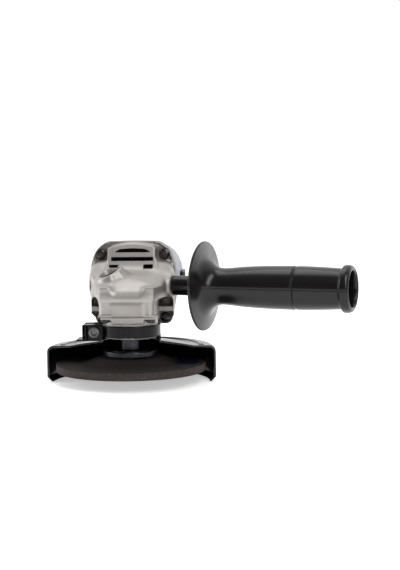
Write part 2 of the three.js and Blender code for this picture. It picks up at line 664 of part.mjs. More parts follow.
function switchRod() {
  const bar = box(ROD_X, ROD_X + 2.2, 64, 160, 61, 67);
  const bridge = box(14.2, ROD_X + 2.2, 157, 160, 61, 67);
  const tail = box(14.2, 16.4, 157, 200, 61, 67);
  const peg = box(11.4, 16.4, 188, 191, 62, 66);
  return join(bar, bridge, tail, peg);
}

function switchBody() {
  const body = box(-10, 13.4, 184.8, 204, 53, 70);
  const slot = box(10.8, 16, 181, 194.4, 61.2, 66.8);
  const terminals = [-6, 4].map((x) => box(x - 1.5, x + 1.5, 186, 200, 50.5, 53.5));
  return cut(join(body, ...terminals), slot);
}

function switchKnob() {
  const base = plate(roundedRectangle(34.3, 36.1, 58.4, 69.6, 0.8), 68, 92);
  const stem = box(26.9, 35, 76, 82, 61.6, 66.4);
  const ribs = [0, 1, 2, 3].map((i) => box(36, 36.9, 71 + i * 3.4, 72.4 + i * 3.4, 59.6, 68.4));
  return join(base, stem, ...ribs);
}

// ---------------------------------------------------------------- side handle

function onHandleAxis(solid) {
  return placed(solid, handleFoot(1), handleDirection(1));
}

const HANDLE_RING_GROOVE_AT = 98.7;

function handleGrip() {
  const flange = HANDLE_DISC_AT;
  const end = HANDLE_END_AT;
  const profile = [
    [4.4, 1], [7.6, 1], [7.6, flange - 3.4], [33.6, flange - 1], [34.3, flange],
    [33.8, flange + 1], [27, flange + 2.4], [20, flange + 5], [16, flange + 8.4], [14.2, flange + 11.4],
    [13.8, flange + 15], [15.4, 58.5], [16.2, 76], [16.5, HANDLE_RING_GROOVE_AT - 1],
    [15.9, HANDLE_RING_GROOVE_AT], [16.4, HANDLE_RING_GROOVE_AT + 1], [16.1, 110], [15.2, end - 9],
    [17.8, end - 6.6], [17.8, end - 2], [16.2, end], [13.6, end - 0.8], [12.4, end - 16], [10, 60],
    [7, 46], [4.4, 46],
  ];
  return onHandleAxis(revolve(profile));
}

function handleStud() {
  const stud = disc(3.8, -13, 30, 16);
  const head = disc(5.4, 46.4, 51, 6);
  const shank = disc(3.8, 29, 47, 16);
  return onHandleAxis(join(stud, shank, head));
}

// ---------------------------------------------------------------- lock button

function onLockAxis(solid) {
  return placed(solid, LOCK_MOUTH, LOCK_AXIS);
}

function lockSpring() {
  const turns = 4;
  const [start, end, radius] = [3.4, 11.1, 2.65];
  const steps = turns * 8;
  const points = Array.from({ length: steps + 1 }, (_, i) => {
    const angle = i / steps * turns * 360 * DEG;
    const along = start + (end - start) * i / steps;
    return new THREE.Vector3(radius * Math.cos(angle), radius * Math.sin(angle), along);
  });
  const wire = new THREE.Shape().absarc(0, 0, 0.32, 0, 360 * DEG);
  const path = new THREE.CatmullRomCurve3(points);
  const options = { steps, extrudePath: path, curveSegments: 2, bevelEnabled: false };
  return onLockAxis(solidOf(new THREE.ExtrudeGeometry(wire, options)));
}

// ---------------------------------------------------------------- assembly

add('gear_housing', gearHousing(), CAST_ALUMINIUM);
add('bearing_box', bearingBox(), CAST_ALUMINIUM);
BEARING_BOX_SCREWS.forEach(([x, y], i) => {
  const screw = panHeadScrew(1.6, 10, 3.4, 2.2).rotate([180, 0, 0]).translate([x, y, PLATE_BOTTOM_Z - GAP]);
  add(`bearing_box_screw_${i + 1}`, screw, DARK_STEEL);
});
SCREW_PLACES.forEach(([x, z], i) => {
  const screw = panHeadScrew(1.6, 22, 3.8, 2.8).rotate([90, 0, 0]).translate([x, SCREW_SEAT_Y - GAP, z]);
  add(`housing_screw_${i + 1}`, screw, DARK_STEEL);
});

add('spindle', spindle(), DARK_STEEL);
add('bevel_gear', bevelGear(), BRIGHT_STEEL);
add('bevel_pinion', bevelPinion(), BRIGHT_STEEL);
add('spindle_lower_bearing', ring(6.2, 15.9, 29.1, 39), BRIGHT_STEEL);
add('spindle_bearing_retainer', ring(12.5, 15.9, 39.4, 41.4), DARK_STEEL);
add('spindle_upper_bearing', ring(4.3, 6.2, 63.5, 69.3, 20), BRIGHT_STEEL);
add('spindle_seal', ring(7.95, 11, 26.3, 28.5), RUBBER);
add('inner_flange', innerFlange(), DARK_STEEL);
add('grinding_disc', grindingDisc(), ABRASIVE);
add('disc_bore_ring', ring(10.8, 11.9, DISC_TOP_Z - 1.2, DISC_TOP_Z + DISC_HUB_RISE), BRIGHT_STEEL);
add('lock_nut', lockNut(), DARK_STEEL);

const buttonProfile = [[0, 0.8], [7, 0.8], [7.6, 1.4], [7.6, 2.6], [0, 2.6]];
add('lock_button', onLockAxis(revolve(buttonProfile)), BLACK_PLASTIC);
add('lock_pin', onLockAxis(disc(LOCK_PIN_R, 2.9, 15.2, 12)), BRIGHT_STEEL);
add('lock_spring', lockSpring(), BRIGHT_STEEL);

add('guard', guardShell(), BLACK_PAINT);
add('guard_band', guardBand(), DARK_STEEL);
const clampScrew = join(disc(4.2, 0, 3.6, 20), disc(2.2, -18.4, 0.5, 16)).subtract(disc(2.2, 1.6, 5, 6));
const clampScrewPlaced = clampScrew.rotate([90, 0, 0]).translate([CLAMP_X, -12.3, CLAMP_Z]);
add('guard_clamp_screw', clampScrewPlaced, BRIGHT_STEEL);
const clampNut = cut(box(-3.8, 3.8, -1.6, 1.6, -3.8, 3.8), disc(2.5, -5, 5, 16).rotate([90, 0, 0]));
add('guard_clamp_nut', clampNut.translate([CLAMP_X, 5.9, CLAMP_Z]), DARK_STEEL);

add('motor_housing', motorHousing(), HOUSING_PLASTIC);
add('rear_cover', rearCover(), HOUSING_PLASTIC);
const coverScrew = panHeadScrew(1.6, 9, 3.3, 2.2);
add('rear_cover_screw', coverScrew.translate([0, COVER_SCREW_Y, COVER_SCREW_SEAT_Z + GAP]), DARK_STEEL);
add('baffle_plate', bafflePlate(), BLACK_PLASTIC);
add('fan', fan(), BLACK_PLASTIC);
add('armature_shaft', armatureShaft(), BRIGHT_STEEL);
add('armature_core', armatureCore(), LAMINATION);
add('armature_winding_front', winding(62, 73.7), COPPER);
add('armature_winding_rear', winding(114.3, 128), COPPER);
add('commutator', commutator(), COPPER);
add('armature_front_bearing', onMotorAxis(ring(4.2, 11, 17.9, 25)), BRIGHT_STEEL);
add('bearing_retainer', onMotorAxis(ring(7, 11, 25.3, 27.3)), DARK_STEEL);
add('armature_rear_bearing', onMotorAxis(ring(3.5, 9.2, 172.2, 177 - GAP, 20)), BRIGHT_STEEL);
add('rear_bearing_sleeve', onMotorAxis(ring(9.5, 10.1, 172.2, 177 - GAP, 20)), RUBBER);
add('stator', stator(), LAMINATION);
add('field_coil_upper', fieldCoil(90), COPPER);
add('field_coil_lower', fieldCoil(270), COPPER);
for (const [label, side] of [['upper', 1], ['lower', -1]]) {
  const outside = side > 0 ? 89.5 - MOTOR_Z : MOTOR_Z - 38.5;
  add(`brush_holder_${label}`, brushHolder(side), BRASS);
  add(`carbon_brush_${label}`, onBrushAxis(box(-2.5, 2.5, -3.7, 3.7, 11, 17.6), side), CARBON);
  const cap = cut(disc(5.9, 19, outside, 16), box(-8, 8, -0.6, 0.6, outside - 1.2, 60));
  add(`brush_cap_${label}`, onBrushAxis(cap, side), BLACK_PLASTIC);
}
add('switch', switchBody(), BLACK_PLASTIC);
add('switch_rod', switchRod(), WHITE_PLASTIC);
add('switch_knob', switchKnob(), BLACK_PLASTIC);
add('handle_grip', handleGrip(), BLACK_PLASTIC);
add('handle_stud', handleStud(), BRIGHT_STEEL);

export default model;
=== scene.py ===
"""Looks of a compact angle grinder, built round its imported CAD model.

Lengths of the tool are millimetres, turned into metres where a mesh or a texture is made. The camera,
the lights and the floor are placed in metres.
Most castings and mouldings are distance fields: functions that give, for every point, the distance
to a surface, negative inside. One mesher turns a field into a closed mesh with true normals.
"""

import json
import math
from collections import namedtuple

import bpy
import numpy as np
from mathutils import Matrix, Vector


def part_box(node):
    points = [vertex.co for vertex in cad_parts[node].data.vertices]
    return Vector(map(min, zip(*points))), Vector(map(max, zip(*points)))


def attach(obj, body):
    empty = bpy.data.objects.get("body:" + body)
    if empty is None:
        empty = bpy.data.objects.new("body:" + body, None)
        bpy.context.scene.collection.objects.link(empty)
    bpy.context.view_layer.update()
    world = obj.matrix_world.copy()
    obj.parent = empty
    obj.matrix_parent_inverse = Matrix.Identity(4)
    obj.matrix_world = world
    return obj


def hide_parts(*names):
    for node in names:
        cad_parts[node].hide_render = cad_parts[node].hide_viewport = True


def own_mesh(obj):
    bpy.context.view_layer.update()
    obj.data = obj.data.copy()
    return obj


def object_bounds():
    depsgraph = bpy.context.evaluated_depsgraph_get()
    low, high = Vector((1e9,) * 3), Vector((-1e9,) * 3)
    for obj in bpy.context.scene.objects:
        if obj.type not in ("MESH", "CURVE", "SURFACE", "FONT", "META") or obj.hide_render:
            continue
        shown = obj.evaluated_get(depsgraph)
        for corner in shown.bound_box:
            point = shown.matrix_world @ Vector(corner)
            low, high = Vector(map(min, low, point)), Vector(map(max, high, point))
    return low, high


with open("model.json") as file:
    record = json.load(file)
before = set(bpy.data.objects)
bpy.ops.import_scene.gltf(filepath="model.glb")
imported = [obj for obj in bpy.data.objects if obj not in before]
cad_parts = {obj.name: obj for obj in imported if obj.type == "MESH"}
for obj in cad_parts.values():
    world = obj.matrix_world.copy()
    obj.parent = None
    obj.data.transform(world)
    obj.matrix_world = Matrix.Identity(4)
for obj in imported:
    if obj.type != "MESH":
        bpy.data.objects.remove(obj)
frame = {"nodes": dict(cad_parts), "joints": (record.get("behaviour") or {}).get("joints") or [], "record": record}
cad_low, cad_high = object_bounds()

MM = 0.001
RECORD = frame["record"]
JOINTS = {joint["name"]: joint for joint in frame["joints"]}
MOUNTS = {mount["name"]: mount for mount in RECORD["mounts"]}
SLOT_OF = {part["node"]: part["material_slot"] for part in RECORD["subparts"]}
BODY_OF = {node: body for body, nodes in RECORD["behaviour"]["bodies"].items() for node in nodes}


def box_mm(node):
    """The lowest and the highest corner of a CAD node."""
    low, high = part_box(node)
    return np.array(low) / MM, np.array(high) / MM


# ------------------------------------------------------------------ places read from the frame

DISC_LOW, DISC_HIGH = box_mm("grinding_disc")
DISC_RIM_TOP = DISC_HIGH[2] - 5.0
GUARD_LOW, GUARD_HIGH = box_mm("guard")
HEAD_LOW, HEAD_HIGH = box_mm("gear_housing")
MOTOR_FRONT = box_mm("motor_housing")[0][1]
COVER_LOW, COVER_HIGH = box_mm("rear_cover")
FLANGE_LOW, FLANGE_HIGH = box_mm("inner_flange")
NUT_LOW, NUT_HIGH = box_mm("lock_nut")
SPINDLE_FOOT = (0, 0, 0)
MOTOR_Z = JOINTS["armature_spin"]["pos_m"][2] / MM
MOTOR_CENTRE = (0, 0, MOTOR_Z)
HANDLE_FOOT = np.array(JOINTS["handle_screw_turn"]["pos_m"]) / MM
HANDLE_WAY = np.array(JOINTS["handle_screw_turn"]["axis"])
LEFT_WAY = np.array(MOUNTS["left_handle_boss"]["axis"])
LEFT_FOOT = HANDLE_FOOT * (-1, 1, 1)
LOCK_WAY = np.array(JOINTS["spindle_lock_press"]["axis"])
LOCK_MOUTH = np.array((-14.5, -8.0, 75.0))
UP = np.array((0.0, 0.0, 1.0))
BACK = np.array((0.0, 1.0, 0.0))
BAND_TOP = box_mm("guard_band")[1][2]
CLAMP_NUT_LOW, CLAMP_NUT_HIGH = box_mm("guard_clamp_nut")
KNOB_LOW, KNOB_HIGH = box_mm("switch_knob")
CLAMP_PLACE = np.array(JOINTS["guard_clamp_screw_turn"]["pos_m"]) / MM


# ------------------------------------------------------------------ distance fields

def smooth_join(softness, first, *others):
    """The union of several fields, with a fillet about as wide as softness where they meet."""
    total = first
    for other in others:
        share = np.clip(0.5 + 0.5 * (other - total) / softness, 0, 1)
        total = other + (total - other) * share - softness * share * (1 - share)
    return total


def smooth_cut(softness, body, *tools):
    """The body without the tools, with its new edges rounded by about softness."""
    return -smooth_join(softness, -body, *tools)


def capped(section, ends, radius):
    """A section distance and a distance past the ends, as one solid with rounded rims."""
    a, b = section + radius, ends + radius
    outside = np.sqrt(np.maximum(a, 0) ** 2 + np.maximum(b, 0) ** 2)
    return outside + np.minimum(np.maximum(a, b), 0) - radius


def between(value, start, end):
    """The distance past the nearer end of a span, negative inside it."""
    return np.abs(value - (start + end) / 2) - abs(end - start) / 2


def rounded_box(p, low, high, radius):
    gaps = [between(value, a, b) + radius for value, a, b in zip(p, low, high)]
    outside = np.sqrt(sum(np.maximum(gap, 0) ** 2 for gap in gaps))
    inside = np.minimum(np.maximum(np.maximum(gaps[0], gaps[1]), gaps[2]), 0)
    return outside + inside - radius


def about(p, origin, way):
    """How far points are from an axis, and how far along it."""
    offsets = [value - start for value, start in zip(p, origin)]
    along = sum(offset * part for offset, part in zip(offsets, way))
    out = np.sqrt(np.maximum(sum(offset ** 2 for offset in offsets) - along ** 2, 0))
    return out, along


def rod(p, origin, way, radius, start, end, rim, end_radius=None):
    """A cylinder along an axis, or a cone where end_radius is given."""
    out, along = about(p, origin, way)
    if end_radius is not None:
        radius = radius + (end_radius - radius) * (along - start) / (end - start)
    return capped(out - radius, between(along, start, end), rim)


def upright(p, radius, start, end, rim):
    """A cylinder round the spindle's axis."""
    return rod(p, SPINDLE_FOOT, UP, radius, start, end, rim)


def outline_distance(u, v, points):
    """The distance to a closed outline in a plane, negative inside it."""
    u, v = np.broadcast_arrays(u, v)
    nearest = np.full(u.shape, np.inf, np.float32)
    inside = np.zeros(u.shape, bool)
    for (u0, v0), (u1, v1) in zip(points, [*points[1:], points[0]]):
        du, dv = u1 - u0, v1 - v0
        if not du and not dv:
            continue
        share = np.clip(((u - u0) * du + (v - v0) * dv) / (du * du + dv * dv), 0, 1)
        nearest = np.minimum(nearest, (u - u0 - share * du) ** 2 + (v - v0 - share * dv) ** 2)
        if dv:
            inside ^= ((v0 > v) != (v1 > v)) & (u < u0 + (v - v0) * du / dv)
    return np.sqrt(nearest) * np.where(inside, -1, 1)


def curve_between(t, start, end, leave, arrive):
    """A cubic from start to end as t goes from 0 to 1, with the slopes it leaves and arrives at."""
    return ((2 * t ** 3 - 3 * t ** 2 + 1) * start + (t ** 3 - 2 * t ** 2 + t) * leave
            + (3 * t ** 2 - 2 * t ** 3) * end + (t ** 3 - t ** 2) * arrive)


def eased(at, stations, column):
    """A station table's column at each y, with smooth slopes between the stations."""
    places = np.array([station[0] for station in stations], float)
    values = np.array([station[column] for station in stations], float)
    slopes = np.gradient(values, places)
    index = np.clip(np.searchsorted(places, at) - 1, 0, len(places) - 2)
    width = places[index + 1] - places[index]
    t = np.clip((at - places[index]) / width, 0, 1)
    leave, arrive = width * slopes[index], width * slopes[index + 1]
    return curve_between(t, values[index], values[index + 1], leave, arrive)


def lofted(p, stations, rim, grow=0.0):
    """Superellipse sections along Y: each station is y, half-width, bottom, top and squareness."""
    x, y, z = p
    half, bottom, top, power = (eased(y, stations, column) for column in (1, 2, 3, 4))
    half, bottom, top = half + grow, bottom - grow, top + grow
    tall = (top - bottom) / 2
    size = (np.abs(x / half) ** power + np.abs((z - (bottom + top) / 2) / tall) ** power) ** (1 / power)
    section = (size - 1) * np.minimum(half, tall)
    return capped(section, between(y, stations[0][0], stations[-1][0]), rim)


def helix_phase(p, origin, way, pitch):
    """How far through one turn of a helix round an axis each point lies, from 0 to 1."""
    side = np.cross(way, UP if abs(way[2]) < 0.9 else BACK)
    side = side / np.linalg.norm(side)
    other = np.cross(way, side)
    offsets = [value - start for value, start in zip(p, origin)]
    angle = np.arctan2(*(sum(o * part for o, part in zip(offsets, axis)) for axis in (other, side)))
    along = sum(o * part for o, part in zip(offsets, way))
    return (along / pitch - angle / (2 * math.pi)) % 1.0


def thread_depth(p, origin, way, pitch, depth):
    """A helical ridge wave round an axis, from 0 at the root to depth at the crest."""
    return depth * (1 - np.abs(2 * helix_phase(p, origin, way, pitch) - 1))


# ------------------------------------------------------------------ meshes

FILLET_STEPS, FLOW_STEPS = 5, 6


def gradient(field, points, step):
    """The field's slope at each point, by central differences."""
    slope = np.empty_like(points)
    for axis in range(3):
        shift = np.zeros(3, np.float32)
        shift[axis] = step
        rise = field(tuple((points + shift).T)) - field(tuple((points - shift).T))
        slope[:, axis] = rise / (2 * step)
    return slope


def surface_net(values):
    """Vertices and outward quads of a grid's zero surface, in grid steps."""
    strides = np.array((values.shape[1] * values.shape[2], values.shape[2], 1))
    corners, cells, loops = [], [], []
    for axis in range(3):
        near = np.moveaxis(values, axis, 0)[:-1]
        far = np.moveaxis(values, axis, 0)[1:]
        found = np.argwhere((near < 0) != (far < 0))
        first, last = near[tuple(found.T)], far[tuple(found.T)]
        place = np.insert(np.delete(found, 0, 1), axis, found[:, 0], axis=1)
        crossing = place.astype(np.float32)
        crossing[:, axis] += first / (first - last)
        u, v = (axis + 1) % 3, (axis + 2) % 3
        ring = np.stack([place @ strides + shift for shift in
                         (0, -strides[u], -strides[u] - strides[v], -strides[v])], axis=1)
        corners.append(np.repeat(crossing, 4, axis=0))
        cells.append(ring.reshape(-1))
        loops.append(np.where((first < 0)[:, None], ring, ring[:, ::-1]))
    corners, cells, loops = np.concatenate(corners), np.concatenate(cells), np.concatenate(loops)
    used, numbers = np.unique(cells, return_inverse=True)
    counts = np.bincount(numbers)
    vertices = np.stack([np.bincount(numbers, corners[:, axis]) / counts for axis in range(3)], axis=1)
    return vertices.astype(np.float32), np.searchsorted(used, loops)


def mesh_of(name, vertices, quads):
    mesh = bpy.data.meshes.new(name)
    mesh.vertices.add(len(vertices))
    mesh.vertices.foreach_set("co", (np.asarray(vertices, np.float32) * MM).ravel())
    mesh.loops.add(quads.size)
    mesh.loops.foreach_set("vertex_index", quads.astype(np.int32).ravel())
    mesh.polygons.add(len(quads))
    mesh.polygons.foreach_set("loop_start", np.arange(0, quads.size, quads.shape[1], dtype=np.int32))
    mesh.update(calc_edges=True)
    mesh.polygons.foreach_set("use_smooth", np.ones(len(quads), bool))
    return mesh


def cast(name, field, low, high, cell):
    """The mesh of a distance field inside the box from low to high."""
    low, high = np.array(low, float) - 2 * cell, np.array(high, float) + 2 * cell
    counts = np.ceil((high - low) / cell).astype(int) + 1
    axes = [low[i] + cell * np.arange(counts[i]) for i in range(3)]
    grid = np.meshgrid(*(axis.astype(np.float32) for axis in axes), indexing="ij", sparse=True)
    values = np.broadcast_to(field(tuple(grid)), tuple(counts)).astype(np.float32)
    vertices, quads = surface_net(values)
    vertices = (vertices * cell + low).astype(np.float32)
    for _ in range(2):
        slope = gradient(field, vertices, 0.2 * cell)
        size = np.maximum((slope ** 2).sum(1), 0.25)
        step = np.clip(field(tuple(vertices.T)) / size, -0.5 * cell, 0.5 * cell)
        vertices -= (slope * step[:, None]).astype(np.float32)
    mesh = mesh_of(name, vertices, quads)
    slope = gradient(field, vertices, 0.5 * cell)
    slope /= np.maximum(np.linalg.norm(slope, axis=1, keepdims=True), 1e-6)
    mesh.normals_split_custom_set_from_vertices([tuple(normal) for normal in slope.astype(float)])
    return mesh


def filleted(profile):
    """A profile's points, each radius, height and an optional fillet, with the fillets drawn as curves."""
    points = []
    for index, (radius, height, *fillet) in enumerate(profile):
        here = np.array((radius, height), float)
        if not fillet:
            points.append(here)
            continue
        before = np.array(profile[index - 1][:2], float) - here
        after = np.array(profile[(index + 1) % len(profile)][:2], float) - here
        start = here + before / np.linalg.norm(before) * fillet[0]
        end = here + after / np.linalg.norm(after) * fillet[0]
        for i in range(FILLET_STEPS + 1):
            t = i / FILLET_STEPS
            points.append((1 - t) ** 2 * start + 2 * t * (1 - t) * here + t ** 2 * end)
    return np.array(points)


def flowing(points):
    """A smooth line through all of the points."""
    points = np.array(points, float)
    slopes = np.gradient(points, axis=0)
    line = [points[0]]
    for start, end, leave, arrive in zip(points[:-1], points[1:], slopes[:-1], slopes[1:]):
        line += [curve_between(t, start, end, leave, arrive)
                 for t in np.arange(1, FLOW_STEPS + 1) / FLOW_STEPS]
    return [tuple(point) for point in line]


def axes_of(way):
    """Two directions square to a way, so that the three turn from the first to the second about it."""
    side = np.cross(UP if abs(way[2]) < 0.9 else BACK, way)
    side = side / np.linalg.norm(side)
    return side, np.cross(way, side)


def turned(name, profile, origin, way, segments=144, ripple=None):
    """A closed profile turned about an axis; ripple moves each point out by a distance of its own."""
    points = filleted(profile)
    area = np.sum(points[:, 0] * np.roll(points[:, 1], -1) - np.roll(points[:, 0], -1) * points[:, 1])
    points = points[::-1] if area < 0 else points
    side, other = axes_of(np.array(way, float))
    angles = np.arange(segments) * 2 * math.pi / segments
    radii = np.repeat(points[None, :, 0], segments, axis=0)
    if ripple is not None:
        radii = radii + ripple(radii, points[None, :, 1])
    spokes = np.cos(angles)[:, None] * side + np.sin(angles)[:, None] * other
    vertices = (np.array(origin, float) + radii[:, :, None] * spokes[:, None, :]
                + points[None, :, 1, None] * np.array(way, float))
    count = len(points)
    turn, point = np.meshgrid(np.arange(segments), np.arange(count), indexing="ij")
    next_turn, next_point = (turn + 1) % segments, (point + 1) % count
    quads = np.stack([turn * count + point, next_turn * count + point,
                      next_turn * count + next_point, turn * count + next_point], axis=-1)
    return mesh_of(name, vertices.reshape(-1, 3), quads.reshape(-1, 4))


def show(name, mesh, nodes, look, evened=False):
    """Adds a mesh as the visible piece that stands for CAD nodes, on their body and in their finish."""
    piece = bpy.data.objects.new(name, mesh)
    bpy.context.scene.collection.objects.link(piece)
    piece.data.materials.append(look)
    if evened:
        piece.modifiers.new("even_normals", "WEIGHTED_NORMAL").weight = 80
    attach(piece, BODY_OF[nodes[0]])
    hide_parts(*nodes)
    return piece


# ------------------------------------------------------------------ materials

def added(tree, kind, inputs=None, **settings):
    """A shader node with its settings, and its inputs set to numbers or linked from other nodes."""
    made = tree.nodes.new(kind)
    for name, value in settings.items():
        setattr(made, name, value)
    for name, value in (inputs or {}).items():
        if isinstance(value, bpy.types.NodeSocket):
            tree.links.new(value, made.inputs[name])
        else:
            made.inputs[name].default_value = value
    return made


def noise(tree, place, size_mm, detail, roughness=0.5):
    scale = 1 / (size_mm * MM)
    made = added(tree, "ShaderNodeTexNoise",
                 {"Vector": place, "Scale": scale, "Detail": detail, "Roughness": roughness})
    return made.outputs["Fac"]


def spread(tree, value, low, high, low_at=0.3, high_at=0.7):
    """A noise value stretched from low to high."""
    made = added(tree, "ShaderNodeMapRange", {"Value": value, "From Min": low_at, "From Max": high_at,
                                              "To Min": low, "To Max": high})
    return made.outputs["Result"]


def mixed(tree, share, first, second):
    made = added(tree, "ShaderNodeMix", {0: share}, data_type="RGBA")
    for index, colour in ((6, first), (7, second)):
        if isinstance(colour, bpy.types.NodeSocket):
            tree.links.new(colour, made.inputs[index])
        else:
            made.inputs[index].default_value = (*colour, 1)
    return made.outputs[2]


def edges(tree, start, end):
    """How worn a place is: 0 on flat ground, 1 on a sharp outside edge."""
    geometry = added(tree, "ShaderNodeNewGeometry")
    return spread(tree, geometry.outputs["Pointiness"], 0, 1, start, end)


def bumped(tree, shader, height, depth_mm, strength):
    bump = added(tree, "ShaderNodeBump",
                 {"Height": height, "Distance": depth_mm * MM, "Strength": strength})
    tree.links.new(bump.outputs["Normal"], shader.inputs["Normal"])


def started(name, metallic=0.0, coat=0.0, specular=0.5):
    """A new material's tree, its main shader and object coordinates in metres."""
    material = bpy.data.materials.new(name)
    material.use_nodes = True
    tree = material.node_tree
    shader = next(node for node in tree.nodes if node.type == "BSDF_PRINCIPLED")
    shader.inputs["Metallic"].default_value = metallic
    shader.inputs["Coat Weight"].default_value = coat
    shader.inputs["Coat Roughness"].default_value = 0.1
    shader.inputs["Specular IOR Level"].default_value = specular
    place = added(tree, "ShaderNodeTexCoord").outputs["Object"]
    return material, tree, shader, place


def link_look(tree, shader, colour, roughness):
    tree.links.new(colour, shader.inputs["Base Color"])
    tree.links.new(roughness, shader.inputs["Roughness"])


def cast_metal(name):
    """Die-cast aluminium: a faint grain, cloudy tone, brighter worn edges and painted shade in its pockets."""
    material, tree, shader, place = started(name, metallic=0.72)
    cloud = noise(tree, place, 14, 4)
    grain = noise(tree, place, 0.45, 3, 0.65)
    base = mixed(tree, spread(tree, cloud, 0, 1), (0.36, 0.342, 0.327), (0.43, 0.411, 0.394))
    speckled = mixed(tree, spread(tree, grain, 0, 0.35), base, (0.31, 0.292, 0.275))
    # Painted shade: from just in front of the pocket floors' depth backwards, the casting is darkened to stand in
    # for the shade in its recesses.
    depth = added(tree, "ShaderNodeSeparateXYZ", {"Vector": place}).outputs["Y"]
    pocket_floor = (HEAD_HIGH[1] - 6.0) * MM
    recess_shade = spread(tree, depth, 0, 0.75, pocket_floor - 0.0012, pocket_floor - 0.0002)
    recess_shaded = mixed(tree, recess_shade, speckled, (0.085, 0.07, 0.062))
    worn = mixed(tree, edges(tree, 0.55, 0.66), recess_shaded, (0.62, 0.605, 0.585))
    link_look(tree, shader, worn, spread(tree, grain, 0.38, 0.52))
    bumped(tree, shader, grain, 0.03, 0.5)
    return material


def steel(name, dark, light, roughness, grain_mm=0.5):
    """Machined or coated steel with fine marks, a cloudy tone and brighter worn edges."""
    material, tree, shader, place = started(name, metallic=1.0)
    marks = noise(tree, place, grain_mm, 3, 0.6)
    cloud = noise(tree, place, 6, 3)
    base = mixed(tree, spread(tree, cloud, 0, 1), dark, light)
    worn = mixed(tree, edges(tree, 0.53, 0.62), base, tuple(min(1, 1.6 * c + 0.1) for c in light))
    link_look(tree, shader, worn, spread(tree, marks, roughness - 0.07, roughness + 0.08))
    bumped(tree, shader, marks, 0.012, 0.4)
    return material


def enamel(name, dark, light, roughness, orange_peel_mm, specular):
    """Glossy paint over sheet steel: a soft orange peel, dust and steel showing at the sharpest edges."""
    material, tree, shader, place = started(name, coat=0.1, specular=specular)
    peel = noise(tree, place, orange_peel_mm, 2)
    dust = noise(tree, place, 0.7, 5, 0.7)
    base = mixed(tree, spread(tree, dust, 0, 1, 0.55, 0.8), dark, light)
    worn = mixed(tree, edges(tree, 0.6, 0.72), base, (0.16, 0.155, 0.15))
    link_look(tree, shader, worn, spread(tree, dust, roughness, roughness + 0.1))
    bumped(tree, shader, peel, 0.02, 0.35)
    return material


def plastic(name, dark, light, roughness, grain_mm, depth_mm):
    """Moulded plastic with a fine eroded texture, cloudy tone and a lighter rub on its edges."""
    material, tree, shader, place = started(name, specular=0.35)
    grain = noise(tree, place, grain_mm, 4, 0.6)
    cloud = noise(tree, place, 18, 3)
    base = mixed(tree, spread(tree, cloud, 0, 1), dark, light)
    rubbed = mixed(tree, edges(tree, 0.54, 0.66), base, tuple(min(1, 1.5 * c + 0.01) for c in light))
    link_look(tree, shader, rubbed, spread(tree, grain, roughness - 0.05, roughness + 0.07))
    bumped(tree, shader, grain, depth_mm, 0.5)
    return material


def computed(tree, operation, first, second):
    """The result of one sum on two values."""
    return added(tree, "ShaderNodeMath", {0: first, 1: second}, operation=operation).outputs[0]


PATCH_INNER, PATCH_OUTER, PATCH_FADE = 35.0, 52.0, 0.4
PATCH_START, PATCH_END, PATCH_TURN_FADE = -0.30, 0.76, 0.01


def printed_patch(tree, split):
    """1 on the dark sector printed on the disc's upper face, 0 elsewhere."""
    flat = added(tree, "ShaderNodeCombineXYZ", {"X": split.outputs["X"], "Y": split.outputs["Y"]})
    length = added(tree, "ShaderNodeVectorMath", {0: flat.outputs["Vector"]}, operation="LENGTH")
    radius = length.outputs["Value"]
    turn = computed(tree, "ARCTAN2", split.outputs["Y"], split.outputs["X"])
    underside = (DISC_LOW[2] + 3.0) * MM
    limits = [
        spread(tree, radius, 0, 1, PATCH_INNER * MM, (PATCH_INNER + PATCH_FADE) * MM),
        spread(tree, turn, 0, 1, PATCH_START, PATCH_START + PATCH_TURN_FADE),
        spread(tree, turn, 1, 0, PATCH_END - PATCH_TURN_FADE, PATCH_END),
        spread(tree, split.outputs["Z"], 0, 1, underside, underside + 0.0002),
    ]
    patch = spread(tree, radius, 1, 0, (PATCH_OUTER - PATCH_FADE) * MM, PATCH_OUTER * MM)
    for limit in limits:
        patch = computed(tree, "MULTIPLY", patch, limit)
    return patch


def abrasive(name):
    """Bonded grit: brown resin, dark and pale grains, painted glints on random grains, and a plain printed patch
    near the hub.
    """
    material, tree, shader, place = started(name, specular=0.1)
    cells = added(tree, "ShaderNodeTexVoronoi", {"Vector": place, "Scale": 1 / (0.75 * MM)})
    grains = noise(tree, place, 0.5, 4, 0.7)
    resin, pale = (0.020, 0.0165, 0.0155), (0.064, 0.051, 0.046)
    tone = mixed(tree, spread(tree, grains, 0, 1, 0.35, 0.65), resin, pale)
    # Painted glints: random grains are lightened towards a pale tone, as if they caught the light.
    painted_glints = spread(tree, cells.outputs["Color"], 0, 0.55, 0.75, 1.0)
    broken = mixed(tree, painted_glints, tone, (0.16, 0.132, 0.12))
    split = added(tree, "ShaderNodeSeparateXYZ", {"Vector": place})
    rim_top = DISC_RIM_TOP * MM
    pressed = spread(tree, split.outputs["Z"], 0, 0.8, rim_top - 0.0004, rim_top - 0.0001)
    gritty = mixed(tree, pressed, broken, (0.010, 0.0085, 0.008))
    patch = printed_patch(tree, split)
    link_look(tree, shader, mixed(tree, patch, gritty, (0.006, 0.010, 0.028)),
              spread(tree, patch, 0.7, 0.3, 0, 1))
    rough = computed(tree, "ADD", cells.outputs["Distance"], grains)
    smoothed = computed(tree, "MULTIPLY", rough, spread(tree, patch, 1, 0.12, 0, 1))
    bumped(tree, shader, smoothed, 0.22, 0.9)
    return material


